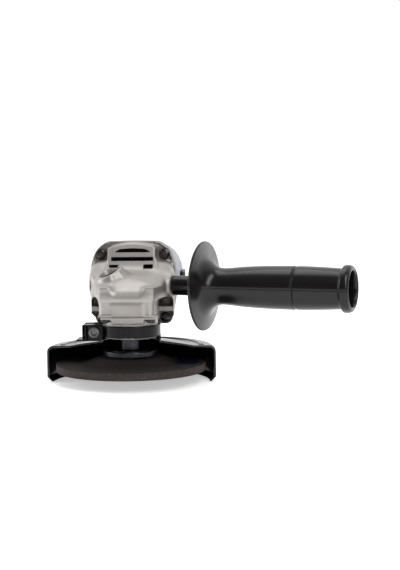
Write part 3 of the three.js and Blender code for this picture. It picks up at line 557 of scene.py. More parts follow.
def stacked(name, dark, light, sheet_mm):
    """Thin sheets or wires, one behind another along the motor."""
    material, tree, shader, place = started(name, metallic=0.9)
    depth = added(tree, "ShaderNodeSeparateXYZ", {"Vector": place}).outputs["Y"]
    phase = computed(tree, "MODULO", depth, sheet_mm * MM)
    band = spread(tree, phase, 0, 1, -sheet_mm * MM, sheet_mm * MM)
    blotch = noise(tree, place, 3, 3)
    toned = mixed(tree, spread(tree, blotch, 0, 1), dark, light)
    link_look(tree, shader, toned, spread(tree, blotch, 0.3, 0.5))
    bumped(tree, shader, band, 0.08, 0.6)
    return material


# Each look has the function that makes it and what that function takes, its dark and light tones first.
FINISHES = {
    "cast_aluminium": (cast_metal,),
    "black_steel": (steel, (0.045, 0.042, 0.042), (0.10, 0.094, 0.09), 0.3),
    "dark_steel": (steel, (0.032, 0.034, 0.039), (0.06, 0.062, 0.07), 0.34, 0.6),
    "clamp_screw_nickel": (steel, (0.06, 0.06, 0.063), (0.13, 0.13, 0.133), 0.24, 0.6),
    "bright_steel": (steel, (0.50, 0.50, 0.51), (0.66, 0.66, 0.66), 0.24, 0.7),
    "rubber": (plastic, (0.012, 0.012, 0.012), (0.022, 0.022, 0.022), 0.8, 0.4, 0.02),
    "abrasive": (abrasive,),
    "guard_paint": (enamel, (0.0025, 0.0025, 0.003), (0.008, 0.0075, 0.007), 0.12, 2.2, 0.5),
    "band_paint": (enamel, (0.003, 0.0026, 0.0026), (0.007, 0.006, 0.006), 0.2, 1.6, 0.15),
    "black_plastic": (plastic, (0.012, 0.011, 0.012), (0.02, 0.019, 0.02), 0.42, 0.35, 0.02),
    "white_plastic": (plastic, (0.62, 0.61, 0.57), (0.7, 0.69, 0.65), 0.45, 0.6, 0.01),
    "housing_plastic": (plastic, (0.29, 0.325, 0.365), (0.34, 0.375, 0.415), 0.46, 0.3, 0.025),
    "handle_plastic": (plastic, (0.004, 0.0032, 0.0036), (0.006, 0.005, 0.0055), 0.22, 0.5, 0.006),
    "lamination": (stacked, (0.22, 0.22, 0.23), (0.34, 0.34, 0.35), 0.5),
    "copper": (stacked, (0.48, 0.20, 0.09), (0.62, 0.28, 0.13), 0.6),
    "brass": (steel, (0.55, 0.40, 0.17), (0.72, 0.55, 0.27), 0.28),
    "carbon": (plastic, (0.02, 0.02, 0.021), (0.04, 0.04, 0.04), 0.55, 0.25, 0.02),
}
LOOKS = {name: make(name, *values) for name, (make, *values) in FINISHES.items()}


# ------------------------------------------------------------------ gear head

def curved(start, control, end, steps=7):
    """Points of a quadratic curve, without its last one."""
    a, b, c = (np.array(point, float) for point in (start, control, end))
    return [tuple((1 - t) ** 2 * a + 2 * t * (1 - t) * b + t ** 2 * c) for t in np.arange(steps) / steps]


def mirrored(half):
    """A closed outline from its right half, listed from the top down."""
    return [*half, *[(-x, z) for x, z in reversed(half)]]


HEAD_SIDE = 33.5
HEAD_TOP = HEAD_HIGH[2]
HEAD_FOOT = HEAD_LOW[2]
FLANGE_BACK = HEAD_HIGH[1]
FLANGE_FRONT = FLANGE_BACK - 6.4
FLANGE_OUTLINE = mirrored([
    (19.5, HEAD_TOP), *curved((19.5, HEAD_TOP), (30, 92.5), (HEAD_SIDE - 1.2, 80)),
    *curved((HEAD_SIDE - 1.2, 80), (HEAD_SIDE, 74), (HEAD_SIDE, 66)), (HEAD_SIDE, 66),
    (HEAD_SIDE - 0.6, 52), *curved((HEAD_SIDE - 0.6, 52), (32.1, 42), (29.5, 34.5)),
    *curved((29.5, 34.5), (28.5, HEAD_FOOT), (25, HEAD_FOOT)), (25, HEAD_FOOT),
])
RIM_WIDTH, POCKET_RIM = 1.8, 1.3
HEAD_FRONT = -31.0
BLOCK_LEFT, BLOCK_RIGHT = -20.6, 21.2
BLOCK_FOOT = 42.8
CROWN = [
    (HEAD_FRONT + 0.4, 18.0, 48, 61.6, 3.0), (-24, 21.5, 50, 66.4, 2.9), (-12, 25.4, 52, 71.0, 2.9),
    (2, 29.4, 51, 76.0, 3.2), (13, 32.2, 47, 82.4, 3.8), (25, 33.0, 45, 84, 4.0),
]
WEDGE = [(BLOCK_LEFT + 1, HEAD_FRONT), (BLOCK_RIGHT - 0.4, HEAD_FRONT), (28, 5), (31, 26),
         (-31, 26), (-28, 5)]
SCREW_X, SCREW_LOW, SCREW_HIGH = 25.0, 37.2, 87.0
HOUSING_SCREW_PLACES = [(x, 0, z) for x in (-SCREW_X, SCREW_X) for z in (SCREW_LOW, SCREW_HIGH)]
BOX_SCREW_PLACES = [(x, y, 0) for x in (-17.2, 17.2) for y in (-17.6, 17.6)]
SCREW_SEAT = 24.0
ARCH_MIDDLE = 1.0
ARCH_HALF = 19.2
HOOD_TOP = 92.0
HOOD_LEAN = 0.42
LOCK_SCARF = 0.2


def arch_outline(half, foot, springing, crown):
    return [(ARCH_MIDDLE - half, foot), (ARCH_MIDDLE + half, foot),
            *curved((ARCH_MIDDLE + half, springing), (ARCH_MIDDLE, 2 * crown - springing),
                    (ARCH_MIDDLE - half, springing), 16), (ARCH_MIDDLE - half, springing)]


def joint_flange(p):
    """The flange that meets the motor housing, with a raised rim round both of its sides."""
    x, y, z = p
    outline = outline_distance(x, z, FLANGE_OUTLINE)
    band = np.abs(outline + RIM_WIDTH / 2) - RIM_WIDTH / 2
    rim = capped(band, between(y, FLANGE_FRONT - 1.6, FLANGE_BACK - 2), 0.6)
    rim = np.maximum(rim, 18 - np.abs(x))
    return smooth_join(0.4, capped(outline, between(y, FLANGE_FRONT, FLANGE_BACK), 0.9), rim)


def slotted_wall(p):
    """The arched plate over the crown that carries the air slots; its face leans back towards the top."""
    x, y, z = p
    arch = outline_distance(x, z, arch_outline(ARCH_HALF, 60, HOOD_TOP, HEAD_TOP - 1.4))
    leaning = y + HOOD_LEAN * np.maximum(HOOD_TOP - z, 0)
    return capped(arch, np.maximum(12 - leaning, y - FLANGE_BACK + 1), 1.1)


def head_body(p):
    """The block over the bearing box, the wedge and crown behind it, the slotted wall and the flange."""
    x, y, z = p
    block = rounded_box(p, (BLOCK_LEFT, HEAD_FRONT, 30), (BLOCK_RIGHT, 26, 62.5), 4.5)
    block = smooth_cut(0.8, block, z - BLOCK_FOOT)
    lip = rounded_box(p, (BLOCK_LEFT - 0.3, HEAD_FRONT - 0.35, BLOCK_FOOT),
                      (BLOCK_RIGHT + 0.3, 26, BLOCK_FOOT + 1.9), 0.7)
    panel = rounded_box(p, (-13.6, HEAD_FRONT - 0.75, 40), (15.4, -24, 55.2), 4.0)
    panel = np.maximum(panel, BLOCK_FOOT + 1 - z)
    wedge = capped(outline_distance(x, y, WEDGE), between(z, 55, 65.4), 1.4)
    body = smooth_join(1.8, smooth_join(1.6, block, wedge), lofted(p, CROWN, 3.2))
    body = smooth_join(3.0, smooth_join(2.4, body, joint_flange(p)), slotted_wall(p))
    return smooth_join(0.9, body, lip, panel)


def scoop(p):
    """The sloping facet that dips into the front edge between block and crown."""
    x, y, z = p
    lean = math.radians(38)
    forward, up = y - HEAD_FRONT, z - 60.2
    along = forward * math.cos(lean) + up * math.sin(lean)
    above = up * math.cos(lean) - forward * math.sin(lean)
    return rounded_box((x, along, above), (-11.5, -20, 0), (13.8, 21, 14), 5.0)


def lock_boss(p):
    """The button's boss, its mouth cut away a little towards the front."""
    y = p[1]
    _, along = about(p, LOCK_MOUTH, LOCK_WAY)
    scarf = (along + LOCK_SCARF * (y - LOCK_MOUTH[1])) / math.hypot(1, LOCK_SCARF)
    boss = rod(p, LOCK_MOUTH, LOCK_WAY, 10.4, -2.4, 14, 1.0, end_radius=11.8)
    return smooth_cut(1.0, boss, scarf)


def handle_bosses(p):
    right = rod(p, HANDLE_FOOT, HANDLE_WAY, 14.0, -22, 0.6, 1.0, end_radius=9.3)
    left = rod(p, LEFT_FOOT, LEFT_WAY, 14.0, -22, -2.5, 1.0, end_radius=9.3)
    return smooth_join(0.1, right, left)


def cheeks(p):
    """The thick lower corners of the head, which hold the pockets of the lower screws."""
    x, y, z = p
    return rounded_box((np.abs(x), y, z), (17, 10.5, 36), (32.4, 27, 56.4), 5.2)


def screw_pockets(p):
    """The corners round the upper screws, inside the rim, and the arched pockets over the lower ones."""
    x, y, z = p
    side = np.abs(x)
    upper = rounded_box((side, y, z), (18.6, -30, 81.6), (60, SCREW_SEAT, 130), 4.6)
    upper = np.maximum(upper, outline_distance(x, z, FLANGE_OUTLINE) + POCKET_RIM)
    round_head = rod((side, y, z), (SCREW_X, 0, SCREW_HIGH), BACK, 4.1, -30, SCREW_SEAT, 0.1)
    upper = np.minimum(upper, round_head)
    lower = rounded_box((side, y, z), (21.0, -30, 20), (31.6, SCREW_SEAT, 54.6), 4.2)
    shelf = rounded_box((side, y, z), (20, 13.5, 42.6), (33, 26, 46.8), 0.7)
    return smooth_join(0.1, upper, smooth_cut(0.6, lower, shelf))


def air_slots(p):
    """An arched slot, a long one under it, and a short one at each end below."""
    x, y, z = p
    arched = [
        (-12.7, 88.7), (14.9, 88.7), *curved((14.9, 88.7), (12.6, 91.3), (7.6, 91.5)),
        *curved((7.6, 91.5), (1.1, 92.1), (-5.4, 91.5)),
        *curved((-5.4, 91.5), (-10.6, 91.3), (-12.7, 88.7)),
    ]
    depth = between(y, 2, 16.5)
    rows = [((-15.4, 82.2), (17.3, 85.2)), ((9.9, 76.5), (17.2, 79.6)), ((-16.6, 77.4), (-9.0, 79.4))]
    cuts = [capped(outline_distance(x, z, arched), depth, 0.4)]
    cuts += [rounded_box(p, (left, -4, low), (right, 16.5, high), 0.5)
             for (left, low), (right, high) in rows]
    return smooth_join(0.05, *cuts)


def head_rooms(p):
    """The hollows of the head: gear room, bearing seats, lock and handle sockets, air duct, screw holes."""
    x, y, z = p
    rooms = [
        upright(p, 18.4, 30, 62.4, 0.5), upright(p, 19.5, 30, 46.2, 0.3), upright(p, 6.5, 60, 69.6, 0.3),
        rod(p, MOTOR_CENTRE, BACK, 7.5, 9, 20, 0.3), rod(p, MOTOR_CENTRE, BACK, 11.3, 17.5, 40, 0.3),
        rod(p, LOCK_MOUTH, LOCK_WAY, 8.35, -9, 7, 0.4), rod(p, LOCK_MOUTH, LOCK_WAY, 3.3, 5, 11.6, 0.2),
        rod(p, LOCK_MOUTH, LOCK_WAY, 2.1, 8, 18, 0.2),
        rod(p, HANDLE_FOOT, HANDLE_WAY, 4.2, -15, 9, 0.3), rod(p, LEFT_FOOT, LEFT_WAY, 4.2, -15, 9, 0.3),
    ]
    duct_section = outline_distance(x, z, arch_outline(17.5, 76, 89, HEAD_TOP - 3))
    duct = capped(duct_section, between(y, 14.4, 40), 0.4)
    rooms.append(smooth_cut(0.4, duct, rod(p, MOTOR_CENTRE, BACK, 13.4, 0, 50, 0.3)))
    rooms += [rod(p, place, BACK, 2.3, 10, 50, 0.2) for place in HOUSING_SCREW_PLACES]
    rooms += [rod(p, place, UP, 1.9, 30, 53, 0.2) for place in BOX_SCREW_PLACES]
    return rooms


def gear_housing(p):
    body = smooth_join(2.4, head_body(p), handle_bosses(p))
    body = smooth_join(4.6, body, lock_boss(p))
    body = smooth_join(1.0, smooth_cut(3.0, body, scoop(p)), cheeks(p))
    body = smooth_cut(1.3, body, screw_pockets(p))
    return smooth_cut(0.35, body, *head_rooms(p), air_slots(p))


def bearing_box(p):
    """The collar that carries the guard, under a plate with a lobe between each pair of screws."""
    plate = rounded_box(p, (-20.6, -21.4, 39.5), (20.6, 21.4, BLOCK_FOOT - 0.3), 1.0)
    lobes = [rounded_box(p, (-12.4, -21.4, 36.5), (12.4, 21.4, 42), 1.0),
             rounded_box(p, (-20.6, -12.6, 36.5), (20.6, 12.6, 42), 1.0)]
    collar = upright(p, 21, 24.5, 40, 0.6)
    spigot = upright(p, 19, 40, 46, 0.5)
    body = smooth_join(0.9, smooth_join(1.2, plate, *lobes), collar, spigot)
    groove = smooth_cut(0.1, upright(p, 23, 24.9, 25.4, 0.1), upright(p, 20.4, 20, 40, 0.1))
    rooms = [
        upright(p, 8.3, 20, 50, 0.2), upright(p, 11.3, 26, 50, 0.2), upright(p, 16.2, 28.8, 50, 0.2),
        groove, rounded_box(p, (-4.5, -24, 22), (4.5, -19.4, 31.6), 0.4),
    ]
    rooms += [rod(p, place, UP, 2.2, 30, 50, 0.2) for place in BOX_SCREW_PLACES]
    return smooth_cut(0.4, body, *rooms)


# ------------------------------------------------------------------ guard and its band

GUARD_SIDE = GUARD_HIGH[0]
GUARD_FOOT = GUARD_LOW[2]
GUARD_SHEET = 1.8
GUARD_SHOULDER = 17.6
GUARD_NECK = 21.6
GUARD_CROWN = GUARD_HIGH[2]


def guard_line(offset):
    """The guard's section from its collar to its foot, offset inwards from the outer face."""
    side, bend = GUARD_SIDE, 5.0
    radius = bend - offset
    turn = [(side - bend + radius * math.cos(a), GUARD_SHOULDER - bend + radius * math.sin(a))
            for a in np.radians(np.linspace(90, 0, 7))]
    collar = [(GUARD_NECK, GUARD_CROWN - offset), (30, GUARD_CROWN - 1.1 - offset),
              (39, 19.2 - offset), (48, GUARD_SHOULDER - offset)]
    foot = [(side - offset, GUARD_FOOT + 3.6 + 0.3 * offset), (side - 3.8, GUARD_FOOT),
            (side - 5.4, GUARD_FOOT)]
    return [*collar, *turn, foot[0]], foot


def guard(p):
    """Half a drum of sheet steel: a stamped top, a rolled shoulder and a foot curled inwards."""
    x, y, z = p
    outer, outer_foot = guard_line(0)
    inner, _ = guard_line(GUARD_SHEET)
    section = [*outer, *outer_foot[1:], *reversed(inner)]
    out = np.sqrt(x * x + y * y)
    sheet = -smooth_join(0.5, -outline_distance(out, z, section), y)
    rib = capped(np.abs(out - 54.2) - 1.7, between(z, 16.4, 18.2), 0.5)
    rib = -smooth_join(0.6, -rib, y - 6)
    return smooth_join(1.1, sheet, rib)


def guard_band(p):
    """The clamping band: a hoop with an embossed front, two ears for the screw, and a foot on the guard."""
    x, y, z = p
    out = np.sqrt(x * x + y * y)
    hoop = capped(np.abs(out - 22.2) - 0.9, between(z, 25.8, BAND_TOP - 0.8), 0.35)
    lug = rounded_box((x, y, z), (13.5, -19.5, 26.4), (20.6, 1, 33.6), 0.8)
    lug = smooth_cut(0.2, lug, 21.2 - out, out - 23.5)
    frame_groove = smooth_cut(0.2, rounded_box(p, (-5.0, -30, 27.0), (6.6, -10, 33.4), 0.8),
                              rounded_box(p, (-4.0, -31, 28.0), (5.6, -9, 32.4), 0.6), 22.5 - out)
    foot = capped(np.abs(out - 22.2) - 0.9, between(z, 21.5, 26.4), 0.3)
    foot = -smooth_join(0.4, -foot, y - 2)
    ears = [rounded_box(p, (-36, -12, 22.9), (-20.4, -3.4, 35.2), 1.1),
            rounded_box(p, (-36, 1, 22.9), (-20.4, 7.5, 35.2), 1.1)]
    tab = rounded_box(p, (-40.8, -11, 22.7), (-21.5, 6, 23.9), 0.5)
    ribs = [rounded_box(p, (edge, -12.5, 24.6), (edge + 1.3, -8, 34.4), 0.5) for edge in (-35.4, -32.7)]
    band = smooth_join(0.8, hoop, lug, foot, tab, *ears)
    band = smooth_cut(0.4, band, frame_groove, *ribs)
    cuts = [upright(p, 21.3, 10, 45, 0.2), rod(p, CLAMP_PLACE, BACK, 2.6, -10, 40, 0.2),
            rounded_box(p, (CLAMP_PLACE[0] - 4.2, 4, CLAMP_PLACE[2] - 4.2),
                        (CLAMP_PLACE[0] + 4.2, 9, CLAMP_PLACE[2] + 4.2), 0.3),
            rounded_box(p, (-40, -3.4, 23.9), (-18, 1, 40), 0.3)]
    return smooth_cut(0.3, band, *cuts)


# ------------------------------------------------------------------ disc and its clamping parts

def disc_profile():
    """A depressed-centre disc: a flat rim and a raised hub, as radius, height and fillet."""
    low, high, rim_top = DISC_LOW[2], DISC_HIGH[2], DISC_RIM_TOP
    side = DISC_HIGH[0]
    return [
        (12.2, high - 6.5), (20.6, high - 6.5, 1.5), (29, low, 3), (side - 1.0, low, 0.6),
        (side, low + 0.7, 0.4), (side, rim_top - 0.5, 0.3), (side - 0.6, rim_top, 0.4), (36.5, rim_top, 3),
        (26, high - 0.8, 2.5), (23.6, high, 1), (12.2, high),
    ]


def grit(radii, heights):
    """The rough face of the disc's rim, where the grains have broken away."""
    rng = np.random.default_rng(7)
    rough = rng.normal(0, 0.16, np.broadcast_shapes(radii.shape, heights.shape))
    return np.where(radii > DISC_HIGH[0] - 0.8, -np.abs(rough), 0)


def rim_steps(profile, count):
    """The profile with its straight rim split into short steps, so that the grit has points to move."""
    done = []
    for index, point in enumerate(profile):
        done.append(point)
        after = profile[(index + 1) % len(profile)]
        if point[0] == after[0] == DISC_HIGH[0]:
            done += [(point[0], point[1] + (after[1] - point[1]) * i / count) for i in range(1, count)]
    return done


def inner_flange(p):
    """The turned flange that drives the disc, with a spigot for its bore and two slots in the rim."""
    seat = FLANGE_HIGH[2] - 4.3
    body = smooth_join(0.3, upright(p, 21, seat, FLANGE_HIGH[2], 0.7),
                       upright(p, 10.5, FLANGE_LOW[2], FLANGE_HIGH[2] - 1, 0.3))
    slots = rounded_box(p, (-0.75, -24, 8), (0.75, 24, 20), 0.2)
    slots = smooth_cut(0.2, slots, upright(p, 19.3, 0, 30, 0.1))
    groove = smooth_cut(0.1, upright(p, 18, FLANGE_HIGH[2] - 0.7, 30, 0.2), upright(p, 15.2, 0, 40, 0.2))
    return smooth_cut(0.2, body, slots, groove, upright(p, 7.4, 0, 30, 0.3))


def lock_nut(p):
    """The round nut under the disc, with four holes for its pin spanner and a turned ring."""
    low, high = NUT_LOW[2], NUT_HIGH[2]
    body = smooth_cut(0.3, upright(p, NUT_HIGH[0], low, high, 0.8), upright(p, 7.4, low - 5, high + 5, 0.3))
    pins = [rod(p, (14.4 * math.cos(a), 14.4 * math.sin(a), 0), UP, 2.4, low - 5, 1.6, 0.2)
            for a in np.radians((45, 135, 225, 315))]
    ring = smooth_cut(0.1, upright(p, 11.4, low - 5, low + 0.5, 0.2), upright(p, 10.6, low - 6, high, 0.2))
    return smooth_cut(0.25, body, ring, *pins)


SPINDLE_TOP = box_mm("spindle")[1][2]
SPINDLE_PITCH, SPINDLE_THREAD = 2.0, 0.85


def spindle(p):
    """The output spindle: an M14 thread with two drive flats, a collar, the bearing and gear seats."""
    x, y, z = p
    ridges = thread_depth(p, SPINDLE_FOOT, UP, SPINDLE_PITCH, SPINDLE_THREAD)
    thread = upright(p, 7.0, 0, 15, 0.9) + SPINDLE_THREAD - ridges
    body = smooth_join(0.2, thread, upright(p, 7.6, 14.9, 28.4, 0.4), upright(p, 5.9, 20, 42, 0.3),
                       upright(p, 5.35, 30, 60, 0.3), upright(p, 3.95, 50, SPINDLE_TOP, 0.4))
    flats = rounded_box((np.abs(x), y, z), (6.35, -9, 5.3), (12, 9, 14.6), 0.2)
    centre = rod(p, SPINDLE_FOOT, UP, 1.6, -4, 2.2, 0.3, end_radius=0.2)
    return smooth_cut(0.2, body, flats, centre)


# ------------------------------------------------------------------ screws

SEAT = (0, 0, 0)


def threaded(along, stem, ridges, depth, end):
    """A stem with thread ridges as far as its end, and plain beyond."""
    return np.where(along < end, stem + depth - ridges, stem)


def cross_recess(p, size, depth):
    """A cross drive sunk into a head whose top is at height zero."""
    x, y, z = p
    taper = 0.35 * (z + depth)
    long, narrow = size + taper * 0.5, 0.42 + taper * 0.3
    slots = [capped(np.maximum(np.abs(a) - long, np.abs(b) - narrow), between(z, -depth, 3), 0.08)
             for a, b in ((x, y), (y, x))]
    return smooth_join(0.15, *slots)


Screw = namedtuple("Screw", "shank length head tall")


def pan_screw(screw):
    """A pan head with a cross drive over a threaded shank, its seat at height zero."""
    shank, length, head, tall = screw

    def field(p):
        x, y, z = p
        dome = np.sqrt(x * x + y * y + (z - tall + head * 1.9) ** 2) - head * 1.9
        top = -smooth_join(0.35, -rod(p, SEAT, UP, head, 0, tall + 1, 0.2), -dome)
        plain = rod(p, SEAT, UP, shank, -length, 0.6, 0.25)
        stem = threaded(z, plain, thread_depth(p, SEAT, UP, 0.9, 0.22), 0.22, -1.5)
        recess = cross_recess((x, y, z - tall), head * 0.52, tall * 0.62)
        return smooth_cut(0.1, smooth_join(0.3, top, stem), recess)
    return field


def placed_mesh(mesh, name, seat, way, turn):
    """A copy of a mesh made about +Z, stood at a seat along a direction and turned about it."""
    copy = mesh.copy()
    copy.name = name
    tilt = Vector(UP).rotation_difference(Vector(way)).to_matrix().to_4x4()
    copy.transform(Matrix.Translation(Vector(seat) * MM) @ tilt @ Matrix.Rotation(turn, 4, "Z"))
    return copy


def screw_turn(index):
    """The angle a screw's drive was left at when it was tightened."""
    return math.radians(23 + 37 * index)


def screw_mesh(field, head, length, tall, cell):
    return cast("screw", field, (-head, -head, -length), (head, head, tall), cell)


def show_screws(names, screw, way, cell):
    """Copies of one pan screw, each turned to its own angle, in place of the CAD screws of these names."""
    mesh = screw_mesh(pan_screw(screw), screw.head, screw.length, screw.tall, cell)
    for index, name in enumerate(names):
        low, high = box_mm(name)
        tip_to_top = np.abs(way) * (high - low) / 2
        seat = (low + high) / 2 + way * (tip_to_top.sum() - screw.tall)
        copy = placed_mesh(mesh, f"{name}_detail", seat, way, screw_turn(index))
        show(f"{name}_detail", copy, [name], LOOKS[SLOT_OF[name]])
    bpy.data.meshes.remove(mesh)


def clamp_screw(p):
    """A round head with a knurled side and a hexagon socket, on a plain shank."""
    x, y, z = p
    angle = np.arctan2(y, x)
    knurl = 0.1 * np.cos(angle * 30)
    head = capped(np.sqrt(x * x + y * y) - 4.12 - knurl, between(z, 0, 3.6), 0.45)
    flats = [np.abs(x * math.cos(a) + y * math.sin(a)) for a in np.radians((0, 60, 120))]
    socket = capped(np.maximum.reduce(flats) - 2.0, between(z, 1.5, 8), 0.15)
    plain = rod(p, SEAT, UP, 2.2, -18.4, 0.8, 0.4)
    stem = threaded(z, plain, thread_depth(p, SEAT, UP, 0.8, 0.25), 0.25, -8)
    return smooth_cut(0.2, smooth_join(0.3, head, stem), socket)


def show_clamp_screw():
    name = "guard_clamp_screw"
    mesh = screw_mesh(clamp_screw, 4.2, 18.4, 3.6, 0.25)
    copy = placed_mesh(mesh, f"{name}_detail", CLAMP_PLACE, -BACK, screw_turn(0))
    show(f"{name}_detail", copy, [name], LOOKS["clamp_screw_nickel"])
    bpy.data.meshes.remove(mesh)


# ------------------------------------------------------------------ motor body

BARREL = [
    (MOTOR_FRONT, 33.2, 32.3, 96.2, 3.0), (44, 33, 34, 95.6, 2.8), (62, 32, 34.5, 93.5, 2.5),
    (100, 31, 36.5, 91.5, 2.4), (150, 29.2, 38.5, 89.5, 2.3), (184, 27, 37, 85, 2.3),
]
TAIL = [
    (COVER_LOW[1], 27, 37, 85, 2.3), (198, 26.2, 36, 82.5, 2.3), (209, 25, 36.4, 80, 2.3),
    (213, 22.5, 38.6, 77.5, 2.3),
]
WALL = 2.4
GRIP_HEIGHTS = (52, 57, 62, 67, 72, 77)
GRIP_DEPTH = 0.7
BRUSH_Y = 150
COVER_SCREW_PLACE = (0, 192, 0)
CORD_CENTRE = (0, 0, 56)


def vents(p, count, first, pitch, low, high, side_x):
    """Slots through both side walls, one behind another."""
    x, y, z = p
    fronts = [first + i * pitch for i in range(count)]
    rows = [rounded_box((np.abs(x), y, z), (side_x, front, low), (side_x + 18, front + 2, high), 0.6)
            for front in fronts]
    return smooth_join(0.1, *rows)


def side_grips(p, barrel):
    """Shallow grooves along both sides of the barrel, where a hand holds it."""
    x, y, z = p
    grooves = [capped(np.abs(z - height) - 0.9, between(y, 108, 142), 0.6) for height in GRIP_HEIGHTS]
    sides = np.maximum(smooth_join(0.1, *grooves), 28 - np.abs(x))
    return np.maximum(sides, -(barrel + GRIP_DEPTH))


def rear_wall(p, barrel):
    """The wall behind the motor with its bearing seat and openings, and the tongue for the cover's screw."""
    wall = -smooth_join(0.3, -(barrel + 1), -between(p[1], 172, 180))
    tongue = rounded_box(p, (-6, 176, 71), (6, 198, 75.6), 0.5)
    passages = [rod(p, MOTOR_CENTRE, BACK, 10.4, 165, 177, 0.3),
                rod(p, MOTOR_CENTRE, BACK, 5, 165, 190, 0.3),
                rounded_box(p, (12.8, 165, 57), (19, 185, 70), 0.4),
                rounded_box(p, (-19, 165, 50), (-12.8, 185, 76), 0.4),
                rounded_box(p, (-9, 165, 42), (9, 185, 51), 0.4)]
    return smooth_cut(0.3, smooth_join(0.4, wall, tongue), *passages)


def motor_housing(p):
    """The moulded barrel: collar and screw bosses at the front, side grips, vents and brush holes behind."""
    x, y, z = p
    collar_section = outline_distance(x, z, FLANGE_OUTLINE)
    collar = capped(collar_section + 0.3, between(y, MOTOR_FRONT, 40), 1.0)
    barrel = lofted(p, BARREL, 0.5)
    bosses = [rod(p, place, BACK, 5, 32, 50, 1.2) for place in HOUSING_SCREW_PLACES]
    bosses = np.maximum(smooth_join(0.5, *bosses), collar_section + 0.5)
    pad = rounded_box(p, (20, 54, 56), (33.6, 98, 72), 1.5)
    body = smooth_join(1.6, smooth_join(2.2, barrel, collar, bosses), pad)
    body = smooth_cut(0.6, body, side_grips(p, barrel))
    inside = [(MOTOR_FRONT - 6, *BARREL[0][1:]), BARREL[2], BARREL[4], (190, *BARREL[5][1:])]
    room = lofted(p, inside, 0.3, grow=-WALL)
    shell = smooth_join(0.4, smooth_cut(0.3, body, room), rear_wall(p, barrel))
    brushes = (0, BRUSH_Y, MOTOR_Z)
    cuts = [rounded_box(p, (18, 65.5, 60.4), (44, 86, 67.6), 0.8), vents(p, 4, 158, 4, 52, 70, 22),
            rod(p, brushes, UP, 6.3, 12, 45, 0.3), rod(p, brushes, -UP, 6.3, 12, 45, 0.3),
            rod(p, COVER_SCREW_PLACE, UP, 1.9, 65, 80, 0.2)]
    cuts += [rod(p, place, BACK, 1.9, 20, 48, 0.2) for place in HOUSING_SCREW_PLACES]
    return smooth_cut(0.3, shell, *cuts)


def rear_cover(p):
    """The tail cap: vents in its cheeks, a sunk screw on top and the cord's inlet boss behind."""
    body = smooth_join(2.5, lofted(p, TAIL, 2.2), rod(p, CORD_CENTRE, BACK, 8, 200, COVER_HIGH[1], 0.9))
    inside = [(178, *TAIL[0][1:]), (196, *TAIL[1][1:]), (207, *TAIL[2][1:]), (211, *TAIL[3][1:])]
    body = smooth_cut(0.4, body, lofted(p, inside, 0.6, grow=-WALL), vents(p, 3, 189, 4.4, 50, 68, 19),
                      rod(p, CORD_CENTRE, BACK, 4.6, 180, 222, 0.4))
    boss = rod(p, COVER_SCREW_PLACE, UP, 5.5, 76, 83, 0.4)
    cuts = [rod(p, COVER_SCREW_PLACE, UP, 3.7, 80.6, 100, 0.2),
            rod(p, COVER_SCREW_PLACE, UP, 1.9, 70, 100, 0.2)]
    return smooth_cut(0.3, smooth_join(0.5, body, boss), *cuts)


def brush_cap(side):
    """A slotted screw cap over a carbon brush, above the motor for side 1 and below it for side -1."""
    low, high = box_mm("brush_cap_upper" if side > 0 else "brush_cap_lower")
    face = high[2] if side > 0 else low[2]

    def field(p):
        ring = rod(p, (0, BRUSH_Y, 0), UP, 5.9, low[2], high[2], 0.5)
        slot = rounded_box(p, (-9, BRUSH_Y - 0.65, min(face, face - side * 1.3)),
                           (9, BRUSH_Y + 0.65, max(face + side * 3, face)), 0.15)
        return smooth_cut(0.2, ring, slot)
    return field


def switch_knob(p):
    """The slide switch's thumb piece: a pad with four grip bars over its stem."""
    face = KNOB_HIGH[0] - 0.8
    front, back = KNOB_LOW[1], KNOB_HIGH[1]
    pad = rounded_box(p, (KNOB_LOW[0] + 7.4, front, 58.4), (face, back, 69.6), 0.7)
    stem = rounded_box(p, (KNOB_LOW[0], front + 8, 61.6), (face - 0.6, front + 14, 66.4), 0.4)
    starts = [front + 3 + i * 3.4 for i in range(4)]
    bars = [rounded_box(p, (face - 0.5, start, 59.6), (KNOB_HIGH[0], start + 1.4, 68.4), 0.45)
            for start in starts]
    return smooth_join(0.35, pad, stem, *bars)


def lock_button(p):
    """The spindle lock's round button, with a shallow dish in its face."""
    body = rod(p, LOCK_MOUTH, LOCK_WAY, 7.6, 0.8, 2.6, 0.5)
    x, y, z = p
    centre = LOCK_MOUTH - 12.0 * LOCK_WAY
    dish = np.sqrt((x - centre[0]) ** 2 + (y - centre[1]) ** 2 + (z - centre[2]) ** 2) - 13.2
    return smooth_cut(0.5, body, dish)


SPRING_START, SPRING_END = 3.1, 11.4
SPRING_PITCH, SPRING_RADIUS, SPRING_WIRE = 1.925, 2.65, 0.32


def lock_spring(p):
    """The coil spring round the lock's pin, ground flat at both ends."""
    out, along = about(p, LOCK_MOUTH, LOCK_WAY)
    past_wire = (helix_phase(p, LOCK_MOUTH, LOCK_WAY, SPRING_PITCH) - 0.5) * SPRING_PITCH
    wire = np.sqrt((out - SPRING_RADIUS) ** 2 + past_wire ** 2) - SPRING_WIRE
    return capped(wire, between(along, SPRING_START, SPRING_END), 0.05)


def show_lock_spring():
    """Shows the coiled spring in place of the CAD spring, on a mesh of its own."""
    name, joint = "lock_spring", "spindle_lock_press"
    mesh = cast(f"{name}_coiled", lock_spring, *box_mm(name), 0.15)
    spring = show(f"{name}_coiled", mesh, [name], LOOKS[SLOT_OF[name]])
    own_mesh(spring)


def clamp_nut(p):
    """The square nut held in the band's far ear."""
    body = rounded_box(p, CLAMP_NUT_LOW, CLAMP_NUT_HIGH, 0.5)
    return smooth_cut(0.2, body, rod(p, CLAMP_PLACE, BACK, 2.5, -5, 40, 0.2))


# ------------------------------------------------------------------ side handle

HANDLE_DISC = 25.4
HANDLE_END = 142.2
HANDLE_GROOVE = 98.7
SEAM_DEPTH = 0.12


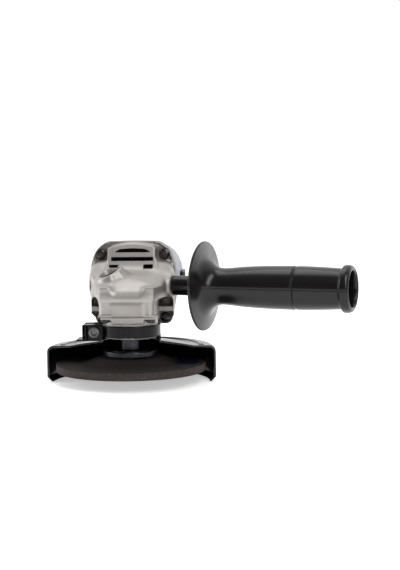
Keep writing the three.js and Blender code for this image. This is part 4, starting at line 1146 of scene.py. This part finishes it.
def handle_profile():
    """The side handle's section as radius, distance from the boss and fillet."""
    disc, end, groove = HANDLE_DISC, HANDLE_END, HANDLE_GROOVE
    return [
        (4.4, 1), (7.6, 1, 0.5), (7.6, disc - 3.4, 1.2), (33.7, disc - 0.9, 0.5), (34.3, disc - 0.1, 0.5),
        *flowing([(33.9, disc + 0.9), (29, disc + 2.0), (23, disc + 3.5), (18.4, disc + 6.2),
                  (15.4, disc + 10), (14.1, disc + 14), (14.1, disc + 20), (15.2, 57), (16.1, 74),
                  (16.5, groove - 1.3)]),
        (16.4, groove - 1.2, 0.2), (15.4, groove, 0.4), (16.4, groove + 1.2, 0.3),
        *flowing([(16.4, groove + 1.4), (16.3, 108), (15.9, 120), (15.2, end - 9)]), (15.2, end - 8, 0.6),
        (17.8, end - 6.6, 1.2), (17.8, end - 2.2, 1.8), (16.2, end, 1.4), (13.8, end, 1.2),
        (13.1, end - 3, 1.0), (12.4, end - 16), (10, 60), (7, 46), (4.4, 46),
    ]


def parting_seam(radii, _heights):
    """A fine line along both sides, where the two halves of the mould met."""
    angles = np.arange(len(radii)) * 2 * math.pi / len(radii)
    near = np.abs(np.sin(angles))[:, None] < 0.02
    return np.where(near & (radii > 8), -SEAM_DEPTH, 0.0)


def handle_stud(p):
    """The stud moulded into the handle: an M8 thread at the boss end and a round head inside the grip."""
    low, high = -13.0, 51.0
    stem = rod(p, HANDLE_FOOT, HANDLE_WAY, 3.8, low, 47, 0.6)
    _, along = about(p, HANDLE_FOOT, HANDLE_WAY)
    ridges = thread_depth(p, HANDLE_FOOT, HANDLE_WAY, 1.25, 0.5)
    stem = threaded(along, stem, ridges, 0.5, 16)
    return smooth_join(0.2, stem, rod(p, HANDLE_FOOT, HANDLE_WAY, 5.2, 46.4, high, 0.5))


# ------------------------------------------------------------------ the pieces

def show_cast(node, kind, field, cell, margin=0.0):
    """Shows a field, meshed at a cell size, in the place of one CAD node; kind ends the piece's name."""
    name = f"{node}_{kind}"
    low, high = box_mm(node)
    mesh = cast(name, field, low - margin, high + margin, cell)
    show(name, mesh, [node], LOOKS[SLOT_OF[node]])


show_cast("gear_housing", "casting", gear_housing, 0.48, margin=1.0)
show_cast("bearing_box", "casting", bearing_box, 0.45)
show_cast("guard", "sheet", guard, 0.6)
show_cast("guard_band", "clamp", guard_band, 0.4)
show_cast("guard_clamp_nut", "detail", clamp_nut, 0.25)
show_cast("inner_flange", "turned", inner_flange, 0.35)
show_cast("lock_nut", "turned", lock_nut, 0.35)
show_cast("spindle", "turned", spindle, 0.3)
show_cast("motor_housing", "moulding", motor_housing, 0.8)
show_cast("rear_cover", "moulding", rear_cover, 0.6)
show_cast("switch_knob", "moulding", switch_knob, 0.25)
show_cast("lock_button", "moulding", lock_button, 0.25)
show_cast("handle_stud", "threaded", handle_stud, 0.3)
show_lock_spring()
for side, label in ((1, "upper"), (-1, "lower")):
    show_cast(f"brush_cap_{label}", "moulding", brush_cap(side), 0.25)

disc_mesh = turned("grinding_disc_bonded", rim_steps(disc_profile(), 14), SPINDLE_FOOT, UP, 420, grit)
show("grinding_disc_bonded", disc_mesh, ["grinding_disc"], LOOKS["abrasive"], evened=True)
bore_low, bore_high = box_mm("disc_bore_ring")
bore_profile = [(10.8, bore_low[2], 0.2), (11.9, bore_low[2], 0.2), (11.9, bore_high[2], 0.2),
                (10.8, bore_high[2], 0.2)]
bore_mesh = turned("disc_bore_ring_turned", bore_profile, SPINDLE_FOOT, UP)
show("disc_bore_ring_turned", bore_mesh, ["disc_bore_ring"], LOOKS["bright_steel"], evened=True)
handle_mesh = turned("handle_grip_moulding", handle_profile(), HANDLE_FOOT, HANDLE_WAY, 180, parting_seam)
show("handle_grip_moulding", handle_mesh, ["handle_grip"], LOOKS["handle_plastic"], evened=True)

show_screws([f"housing_screw_{i}" for i in (1, 2, 3, 4)], Screw(1.6, 22, 3.8, 2.8), -BACK, 0.22)
show_screws([f"bearing_box_screw_{i}" for i in (1, 2, 3, 4)], Screw(1.6, 10, 3.4, 2.2), -UP, 0.2)
show_screws(["rear_cover_screw"], Screw(1.6, 9, 3.3, 2.2), UP, 0.2)
show_clamp_screw()

# The CAD nodes that no piece replaces show their own meshes, in the same looks.
for node_name, node_object in frame["nodes"].items():
    if not node_object.hide_render:
        node_object.data.materials.clear()
        node_object.data.materials.append(LOOKS[SLOT_OF[node_name]])


# ------------------------------------------------------------------ camera, light and floor

CAMERA_TURN, CAMERA_RISE, CAMERA_ROLL = math.radians(3.43), math.radians(4.97), math.radians(0.67)
CAMERA_PLACE = Vector((0.11755, -1.06372, 0.15675))
CAMERA_LENS = 88.4


def add_camera():
    """A long lens in front of the head, a little above it and a little to the side of the handle."""
    turn, rise = CAMERA_TURN, CAMERA_RISE
    right = Vector((math.cos(turn), math.sin(turn), 0))
    back = Vector((math.sin(turn) * math.cos(rise), -math.cos(turn) * math.cos(rise), math.sin(rise)))
    upward = back.cross(right)
    c, s = math.cos(CAMERA_ROLL), math.sin(CAMERA_ROLL)
    columns = Matrix((c * right - s * upward, s * right + c * upward, back)).transposed()
    data = bpy.data.cameras.new("camera")
    data.lens = CAMERA_LENS
    camera = bpy.data.objects.new("camera", data)
    camera.matrix_world = Matrix.Translation(CAMERA_PLACE) @ columns.to_4x4()
    bpy.context.scene.collection.objects.link(camera)
    bpy.context.scene.camera = camera


def add_floor():
    """A wide round sheet of pale paper under the tool."""
    radius, segments = 6.0, 64
    angles = [i * 2 * math.pi / segments for i in range(segments)]
    ring = [(radius * math.cos(angle), radius * math.sin(angle), cad_low.z) for angle in angles]
    mesh = bpy.data.meshes.new("floor")
    mesh.from_pydata(ring, [], [tuple(range(segments))])
    floor = bpy.data.objects.new("floor", mesh)
    bpy.context.scene.collection.objects.link(floor)
    material, tree, shader, place = started("floor_paper", specular=0.2)
    tone = spread(tree, noise(tree, place, 300, 2), 0, 1)
    link_look(tree, shader, mixed(tree, tone, (0.90, 0.895, 0.89), (0.93, 0.925, 0.92)),
              spread(tree, noise(tree, place, 40, 3), 0.6, 0.75))
    shader.inputs["Emission Color"].default_value = (1, 1, 1, 1)
    shader.inputs["Emission Strength"].default_value = 0.45
    mesh.materials.append(material)


def add_softbox(name, place, target, width, height, power):
    """A rectangular lamp that faces its target."""
    light = bpy.data.lights.new(name, "AREA")
    light.shape = "RECTANGLE"
    light.size, light.size_y, light.energy = width, height, power
    lamp = bpy.data.objects.new(name, light)
    lamp.location = Vector(place)
    lamp.rotation_euler = (Vector(target) - Vector(place)).to_track_quat("-Z", "Y").to_euler()
    bpy.context.scene.collection.objects.link(lamp)


def add_world():
    """Plain white for the camera; as light, a white backdrop, a dim ceiling and a dim room in front."""
    world = bpy.data.worlds.new("studio")
    world.use_nodes = True
    tree = world.node_tree
    output = next(node for node in tree.nodes if node.type == "OUTPUT_WORLD")
    way = added(tree, "ShaderNodeTexCoord").outputs["Generated"]
    split = added(tree, "ShaderNodeSeparateXYZ", {"Vector": way})
    backdrop = spread(tree, split.outputs["Y"], 0.05, 1.0, -0.3, 0.35)
    ceiling = spread(tree, split.outputs["Z"], 0, 0.24, 0.0, 0.9)
    strength = computed(tree, "ADD", backdrop, ceiling)
    seen = added(tree, "ShaderNodeBackground", {"Color": (1, 1, 1, 1), "Strength": 1.0})
    lit = added(tree, "ShaderNodeBackground", {"Color": (1.0, 0.99, 0.98, 1), "Strength": strength})
    ray = added(tree, "ShaderNodeLightPath").outputs["Is Camera Ray"]
    both = added(tree, "ShaderNodeMixShader", {0: ray, 1: lit.outputs[0], 2: seen.outputs[0]})
    tree.links.new(both.outputs[0], output.inputs["Surface"])
    bpy.context.scene.world = world


MIDDLE = (0.02, 0.03, 0.05)
add_camera()
add_floor()
add_world()
add_softbox("key_softbox", (0.70, -1.05, 0.98), MIDDLE, 0.5, 1.7, 14)
add_softbox("left_softbox", (-1.3, 0.1, 0.45), MIDDLE, 0.5, 0.9, 6.5)
add_softbox("rear_softbox", (1.1, 1.2, 0.25), MIDDLE, 0.8, 0.9, 2.2)
add_softbox("top_softbox", (-0.2, 0.3, 1.5), MIDDLE, 0.9, 0.7, 4)
bpy.context.scene.view_settings.view_transform = "Standard"
